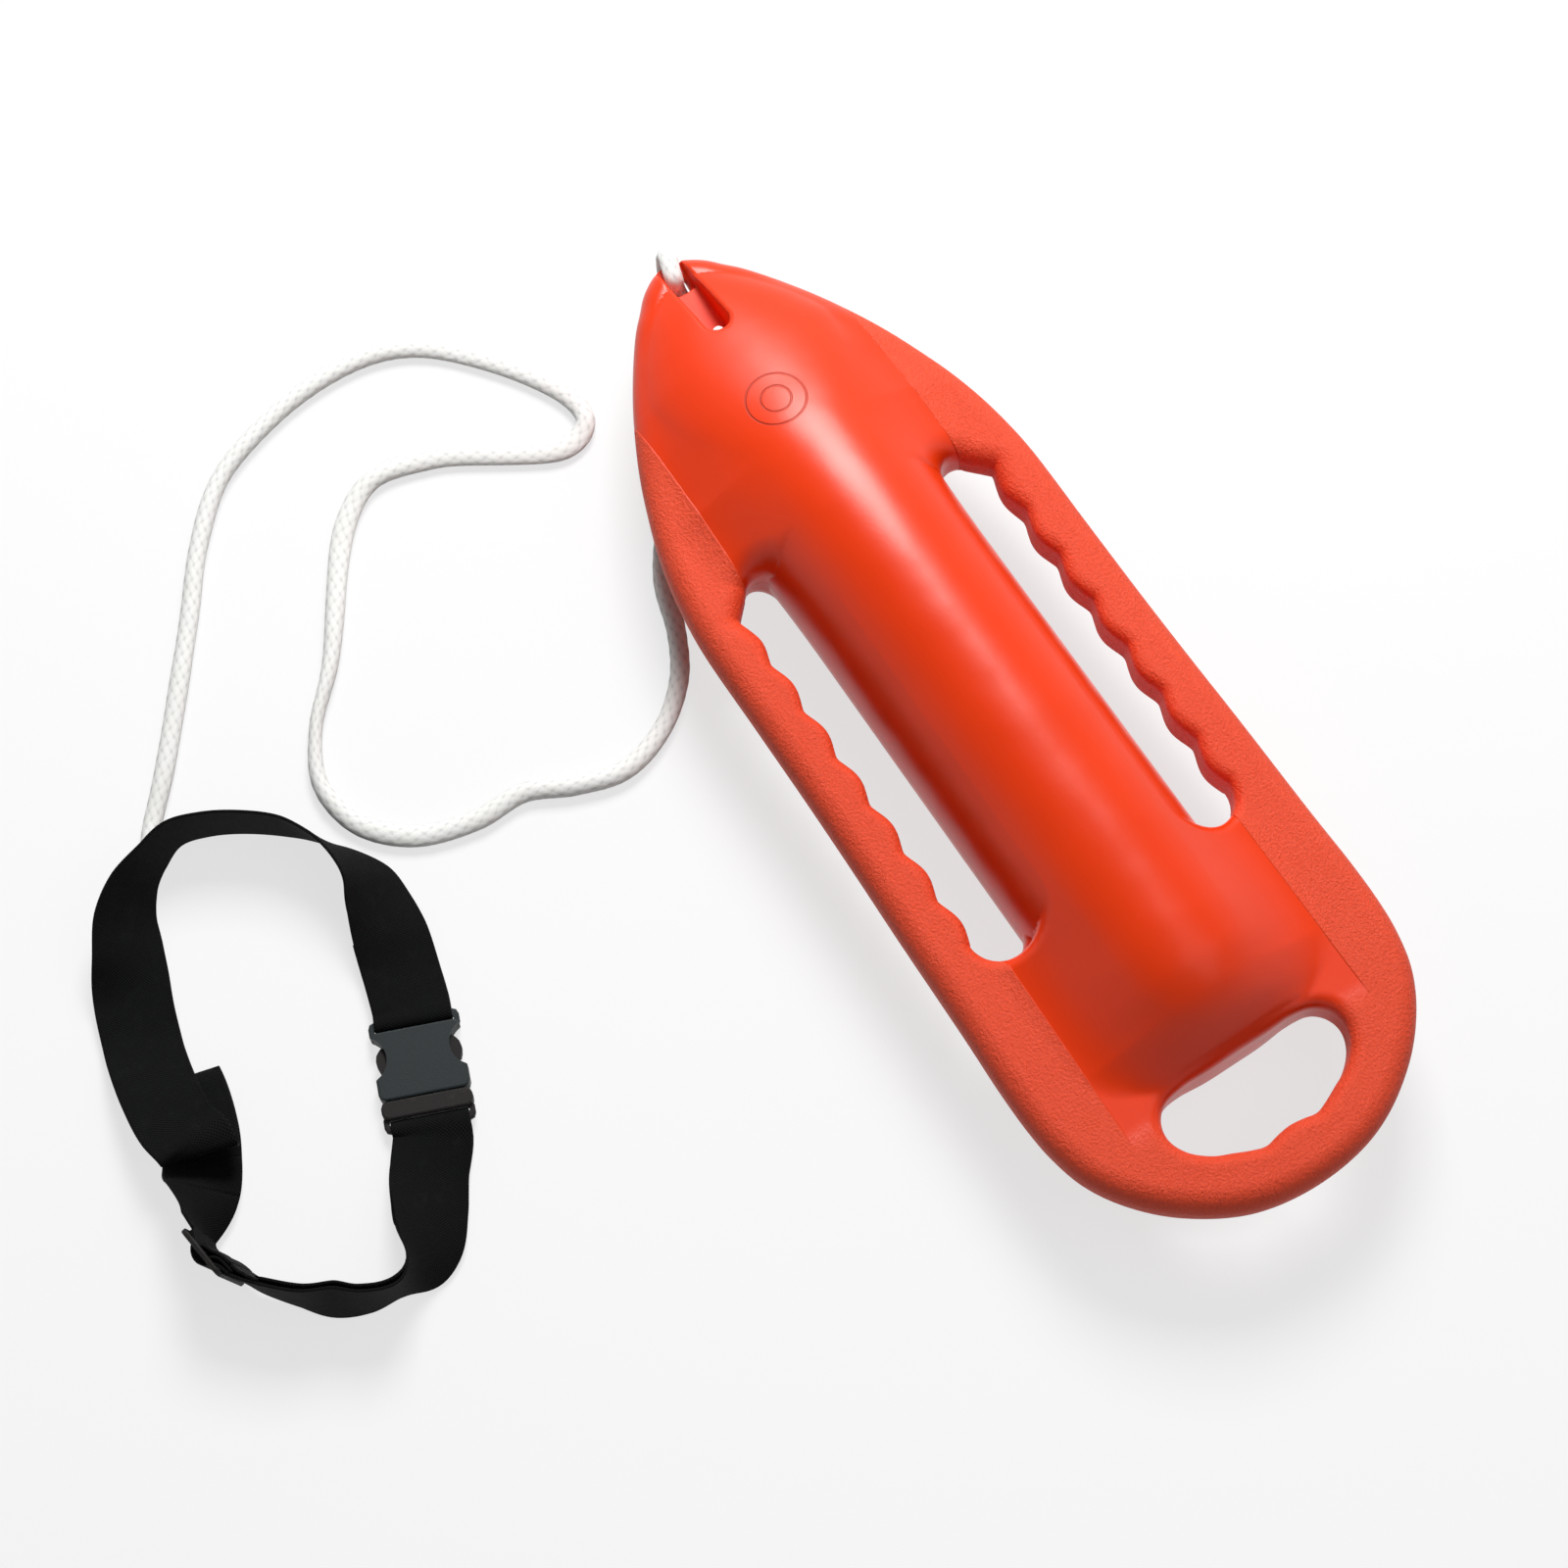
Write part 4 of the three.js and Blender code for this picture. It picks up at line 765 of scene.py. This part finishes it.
tab_path = belt_stations(RIGHT_SIDE, 0)
tab_point, tab_up = tab_path[TAB_STATION]
tab_along = unit(tab_path[TAB_STATION + 1][0] - tab_path[TAB_STATION - 1][0])
tab_up = unit(tab_up - tab_up.dot(tab_along) * tab_along)
tab_out = np.cross(tab_along, tab_up)
tab_stations = [(tab_point + CENTIMETRE * up * tab_up + CENTIMETRE * out * tab_out, tab_along)
                for up, out in TAB]
rope_tab = strap("webbing_rope_tab", tab_stations, width=TAB_WIDTH, thickness=TAB_THICKNESS, columns=12)

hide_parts("strap_main")
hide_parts("strap_adjust")
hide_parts("strap_adjust")
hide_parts("strap_adjust")
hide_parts("strap_lower")
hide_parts("strap_lower")
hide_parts("strap_end")
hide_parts("rope_tab")


# Materials. Lengths are in metres, and colours are 8-bit display values.

GRAIN_EDGE = (0.0813, 0.0821)
GRAIN_SLANT = 0.012
GRAIN_REAR = (-0.292, -0.272)
RING_CENTRE = (0.2183, 0.0039)
RING_RADII = (0.019, 0.0096)
FINE_LINE = (0.0002, 0.0009)
FLOAT_RED = (238, 58, 0)
CLOUD_RED = (226, 50, 0)
SCUFF_RED = (255, 120, 90)
WING_RED = (255, 108, 72)
GRAIN_RED = (170, 26, 6)
RING_RED = (150, 30, 10)
ROPE_WHITE = (252, 252, 249)
# Painted shade: the grey that the rope is given in the gaps between its strands.
ROPE_GAP_SHADE = (224, 224, 222)
ROPE_SOIL = (228, 227, 220)
WEBBING_COLUMN = 0.0024
WEBBING_RIB = 0.0017
WEBBING_EDGE = (0.0212, 0.0218)
# The webbing's black with painted shade for the weave's low spots, and with a painted highlight for its
# raised crossings.
WEBBING_BLACK_AND_SHADE = (3, 3, 3)
WEBBING_RIB_BLACK_AND_HIGHLIGHT = (22, 23, 23)
WEBBING_DUST = (34, 36, 35)
EDGE_SOFTNESS = 0.0004


def linear(colour):
    """A linear colour from 8-bit display values."""
    parts = [c / 255 for c in colour]
    return tuple(p / 12.92 if p <= 0.04045 else ((p + 0.055) / 1.055) ** 2.4 for p in parts) + (1.0,)


def grey(level):
    """A linear grey."""
    return level, level, level, 1.0


class Nodes:
    """The node tree of a material or a world, with short calls to add to it."""

    def __init__(self, owner, kind="Material"):
        self.owner = owner
        owner.use_nodes = True
        self.tree = owner.node_tree
        self.tree.nodes.clear()
        self.output = self.tree.nodes.new("ShaderNodeOutput" + kind)

    def add(self, kind, inputs=(), **settings):
        """A node of the given kind; its inputs are values, or sockets to link."""
        made = self.tree.nodes.new("ShaderNode" + kind)
        for key, value in settings.items():
            setattr(made, key, value)
        for key, value in dict(inputs).items():
            if isinstance(value, bpy.types.NodeSocket):
                self.tree.links.new(value, made.inputs[key])
            else:
                made.inputs[key].default_value = value
        return made

    def math(self, operation, *values):
        return self.add("Math", dict(enumerate(values)), operation=operation).outputs[0]

    def noise(self, where, scale, detail=2.0, rough=0.5):
        inputs = {"Vector": where, "Scale": scale, "Detail": detail, "Roughness": rough}
        return self.add("TexNoise", inputs).outputs["Fac"]

    def ramp(self, value, low, high, out_low=0.0, out_high=1.0, shape="SMOOTHSTEP"):
        inputs = {"Value": value, "From Min": low, "From Max": high, "To Min": out_low, "To Max": out_high}
        return self.add("MapRange", inputs, interpolation_type=shape).outputs["Result"]

    def mix(self, factor, first, second):
        return self.add("Mix", {0: factor, 6: first, 7: second}, data_type="RGBA").outputs[2]

    def bump(self, height):
        return self.add("Bump", {"Height": height, "Distance": 1.0, "Strength": 1.0}).outputs["Normal"]

    def end(self, shader):
        """Links a shader's node to the output and returns the finished material or world."""
        self.tree.links.new(shader.outputs[0], self.output.inputs[0])
        return self.owner

    def finish(self, colour, roughness, normal, **fixed):
        """A principled shader, with any further inputs named with underscores for spaces."""
        inputs = {"Base Color": colour, "Roughness": roughness, "Normal": normal}
        for key, value in fixed.items():
            inputs[key.replace("_", " ")] = value
        return self.end(self.add("BsdfPrincipled", inputs))


def float_material(name):
    """Glossy blow-moulded polyethylene.

    It has long soft waves, a fine skin, a grained wing, a matt floor in the rope's channel, the parting
    line and two rings.
    """
    n = Nodes(bpy.data.materials.new(name))
    where = n.add("TexCoord").outputs["Object"]
    x, y, z = n.add("SeparateXYZ", {0: where}).outputs
    side = n.math("ABSOLUTE", y)
    wing = n.ramp(n.math("MULTIPLY_ADD", x, GRAIN_SLANT, side), *GRAIN_EDGE)
    wing = n.math("MAXIMUM", wing, n.ramp(x, *GRAIN_REAR, 1.0, 0.0))
    waves = n.noise(where, 16, 2.0, 0.4)
    skin_noise = n.noise(where, 420, 3.0, 0.6)
    grain = n.noise(where, 560, 3.0, 0.7)
    cloud = n.noise(where, 7, 3.0, 0.6)
    scuff = n.ramp(n.noise(where, 140, 4.0, 0.75), 0.62, 0.8, 0.0, 0.1)
    middle = n.math("ABSOLUTE", n.math("SUBTRACT", z, REST_HEIGHT * MM))
    seam = n.ramp(middle, *FINE_LINE, 1.0, 0.0)
    away = [n.math("SUBTRACT", place, centre) for place, centre in zip((x, y), RING_CENTRE)]
    radius = n.math("SQRT", n.math("ADD", *[n.math("POWER", distance, 2.0) for distance in away]))
    lines = [n.math("ABSOLUTE", n.math("SUBTRACT", radius, ring)) for ring in RING_RADII]
    rings = n.math("ADD", *[n.ramp(line, *FINE_LINE, 1.0, 0.0) for line in lines])
    rings = n.math("MULTIPLY", rings, n.ramp(z, 0.08, 0.081))
    grained = n.math("MULTIPLY", grain, wing)
    height = n.math("MULTIPLY", waves, 0.0016)
    for relief, depth in ((skin_noise, 0.00005), (grained, 0.0013), (seam, 0.00025), (rings, -0.0006)):
        height = n.math("MULTIPLY_ADD", relief, depth, height)
    channel = n.math("MULTIPLY", n.ramp(x, 0.284, 0.286), n.ramp(side, 0.0075, 0.0085, 1.0, 0.0))
    channel = n.math("MULTIPLY", channel, n.ramp(z, 0.074, 0.076, 1.0, 0.0))
    matt = n.math("MAXIMUM", wing, channel)
    dark_grain = n.math("MULTIPLY", wing, n.ramp(grain, 0.35, 0.6, 0.16, 0.0))
    tone = n.mix(n.ramp(cloud, 0.3, 0.7, 0.0, 0.3), linear(FLOAT_RED), linear(CLOUD_RED))
    tone = n.mix(scuff, tone, linear(SCUFF_RED))
    tone = n.mix(n.math("MULTIPLY", wing, 0.3), tone, linear(WING_RED))
    tone = n.mix(n.math("MULTIPLY", rings, 0.55), tone, linear(RING_RED))
    tone = n.mix(dark_grain, tone, linear(GRAIN_RED))
    rough = n.math("ADD", n.ramp(cloud, 0.3, 0.7, 0.29, 0.34), n.math("MULTIPLY", matt, 0.2))
    return n.finish(tone, rough, n.bump(height), Specular_IOR_Level=0.4)


def rope_material(name):
    """White polypropylene braid: fibres along the strands, and painted shade, a grey, in the gaps between
    them.
    """
    n = Nodes(bpy.data.materials.new(name))
    relief = n.add("Attribute", attribute_name="relief").outputs["Fac"]
    uv = n.add("TexCoord").outputs["UV"]
    where = n.add("TexCoord").outputs["Object"]
    drawn_out = n.add("Mapping", {"Vector": uv, "Scale": (2600.0, 420.0, 1.0)}).outputs[0]
    fibre = n.noise(drawn_out, 1.0, 3.0, 0.6)
    soil = n.noise(where, 28, 3.0, 0.6)
    # Painted shade: the braid turns grey where its relief is low, in the gaps between the strands.
    tone = n.mix(n.ramp(relief, 0.2, 0.75), linear(ROPE_GAP_SHADE), linear(ROPE_WHITE))
    tone = n.mix(n.ramp(soil, 0.45, 0.75, 0.0, 0.2), tone, linear(ROPE_SOIL))
    height = n.math("MULTIPLY", fibre, 0.00035)
    return n.finish(tone, n.ramp(fibre, 0.2, 0.8, 0.55, 0.8), n.bump(height), Sheen_Weight=0.15)


def webbing_material(name):
    """Black nylon webbing: ribs across the width, columns along it, raised selvedges and a little fuzz."""
    n = Nodes(bpy.data.materials.new(name))
    uv = n.add("TexCoord").outputs["UV"]
    where = n.add("TexCoord").outputs["Object"]
    u, v, _ = n.add("SeparateXYZ", {0: uv}).outputs
    columns = n.math("SINE", n.math("MULTIPLY", u, 2 * math.pi / WEBBING_COLUMN))
    ribs = n.math("SINE", n.math("MULTIPLY", v, 2 * math.pi / WEBBING_RIB))
    weave = n.math("MULTIPLY", columns, ribs)
    edge = n.ramp(n.math("ABSOLUTE", u), *WEBBING_EDGE)
    cords = n.math("ABSOLUTE", columns)
    fuzz = n.noise(where, 2400, 2.0, 0.7)
    dust = n.noise(where, 90, 3.0, 0.65)
    height = n.math("MULTIPLY", cords, 0.00012)
    for relief, depth in ((weave, 0.00012), (edge, 0.0002), (fuzz, 0.0001)):
        height = n.math("MULTIPLY_ADD", relief, depth, height)
    # Painted highlight and shade: the weave is lighter where its relief is raised and darker where it is low.
    tone = n.mix(n.ramp(weave, -0.8, 0.8), linear(WEBBING_BLACK_AND_SHADE), linear(WEBBING_RIB_BLACK_AND_HIGHLIGHT))
    tone = n.mix(n.ramp(dust, 0.5, 0.8, 0.0, 0.2), tone, linear(WEBBING_DUST))
    return n.finish(tone, n.ramp(fuzz, 0.2, 0.8, 0.7, 0.9), n.bump(height), Specular_IOR_Level=0.08)


def moulded_material(name, colour, worn, rough, specular=0.5):
    """Moulded plastic with a fine spark-eroded grain and paler rubbed patches."""
    n = Nodes(bpy.data.materials.new(name))
    where = n.add("TexCoord").outputs["Object"]
    grain = n.noise(where, 1800, 2.0, 0.6)
    patch = n.noise(where, 120, 4.0, 0.7)
    tone = n.mix(n.ramp(patch, 0.5, 0.78, 0.0, 0.45), linear(colour), linear(worn))
    height = n.math("MULTIPLY", grain, 0.0001)
    roughness = n.ramp(patch, 0.3, 0.7, rough - 0.06, rough + 0.08)
    return n.finish(tone, roughness, n.bump(height), Specular_IOR_Level=specular)


hull_finish = float_material("float_polyethylene")
plug_finish = moulded_material("plug_plastic", (206, 52, 28), (232, 92, 66), 0.42)
seal_finish = moulded_material("seal_rubber", (26, 27, 27), (52, 53, 53), 0.75, 0.3)
rope_finish = rope_material("rope_braid")
webbing_finish = webbing_material("belt_webbing")
buckle_finish = moulded_material("buckle_acetal", (42, 48, 50), (50, 56, 58), 0.5, 0.2)
tongue_finish = moulded_material("buckle_rubbed", (30, 28, 27), (62, 55, 51), 0.55, 0.2)


def dress(piece, finish, body=None):
    """Gives a piece its finish, and its body where it rides just one."""
    piece.data.materials.clear()
    piece.data.materials.append(finish)
    if body:
        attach(piece, body)


dress(float_moulding, hull_finish, "float_and_belt")
for piece in (tow_rope, belt_knot, nose_bight, nose_knot, nose_tail):
    dress(piece, rope_finish, "float_and_belt")
dress(strap_main, webbing_finish, "float_and_belt")
dress(rope_tab, webbing_finish, "float_and_belt")
for piece in (strap_before, strap_adjust, strap_beside):
    dress(piece, webbing_finish)
dress(strap_lower, webbing_finish, "tongue")
dress(strap_return, webbing_finish)
dress(strap_end, webbing_finish, "slider")
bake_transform(strap_before)
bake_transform(strap_adjust)
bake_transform(strap_beside)
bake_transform(strap_return)

NODE_FINISHES = {
    "vent_plug": plug_finish,
    "vent_seal": seal_finish,
    "buckle_socket": buckle_finish,
    "buckle_tongue": tongue_finish,
    "buckle_arm_left": tongue_finish,
    "buckle_arm_right": tongue_finish,
    "slider": tongue_finish,
}
for node, finish in NODE_FINISHES.items():
    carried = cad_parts[node]
    carried.data.materials.clear()
    carried.data.materials.append(finish)
    bevel = carried.modifiers.new("soft_edges", "BEVEL")
    bevel.width = EDGE_SOFTNESS
    bevel.segments = 2
    bevel.limit_method = "ANGLE"
    bevel.angle_limit = math.radians(35)


# Floor, lights and background

FLOOR_REACH = 6
LIT_GREY = 0.4
SEEN_GREY = 0.92
STUDIO_AIM = (0.05, 0.1, 0)


def seen_rays(n):
    """1 for rays that show the ground and background, straight, mirrored or through glass, else 0."""
    path = n.add("LightPath").outputs
    seen = n.math("MAXIMUM", path["Is Camera Ray"], path["Is Glossy Ray"])
    return n.math("MAXIMUM", seen, path["Is Transmission Ray"])


def floor_material():
    """Paper that looks nearly white and keeps the shadow, but throws less light back on the object."""
    n = Nodes(bpy.data.materials.new("floor_paper"))
    seen = seen_rays(n)
    paper = n.add("BsdfDiffuse", {"Color": n.mix(seen, grey(LIT_GREY), grey(SEEN_GREY))})
    glow = n.add("Emission", {"Color": grey(1.0), "Strength": 1.0})
    place = n.add("TexCoord").outputs["Object"]
    distance = n.add("VectorMath", {0: place}, operation="LENGTH").outputs["Value"]
    share = n.math("MULTIPLY", seen, n.ramp(distance, 1.2, 3.2, 0.7, 1.0))
    return n.end(n.add("MixShader", {0: share, 1: paper.outputs[0], 2: glow.outputs[0]}))


floor_corners = [(x * FLOOR_REACH, y * FLOOR_REACH, 0) for x, y in ((-1, -1), (1, -1), (1, 1), (-1, 1))]
floor_mesh = bpy.data.meshes.new("studio_floor")
floor_mesh.from_pydata(floor_corners, [], [(0, 1, 2, 3)])
floor = bpy.data.objects.new("studio_floor", floor_mesh)
bpy.context.scene.collection.objects.link(floor)
floor.data.materials.append(floor_material())


def soft_light(name, place, size, power):
    """A square lamp above the object."""
    lamp = bpy.data.lights.new(name, "AREA")
    lamp.shape = "SQUARE"
    lamp.size = size
    lamp.energy = power
    made = bpy.data.objects.new(name, lamp)
    made.location = place
    made.rotation_euler = facing(place, STUDIO_AIM)
    bpy.context.scene.collection.objects.link(made)


def studio_world():
    """A plain dim light all round, seen as a white background that darkens only high overhead."""
    n = Nodes(bpy.data.worlds.new("studio"), "World")
    upward = n.add("SeparateXYZ", {0: n.add("TexCoord").outputs["Generated"]}).outputs[2]
    ceiling = n.ramp(upward, 0.3, 0.75, 1.0, 0.3, "LINEAR")
    level = n.ramp(seen_rays(n), 0.0, 1.0, 0.26, 1.0, "LINEAR")
    return n.end(n.add("Background", {"Color": ceiling, "Strength": level}))


soft_light("key", (1.35, -0.8, 1.9), 1.0, 66)
soft_light("fill", (-0.7, -0.7, 2.1), 1.6, 7)
bpy.context.scene.world = studio_world()
bpy.context.scene.view_settings.view_transform = "Standard"
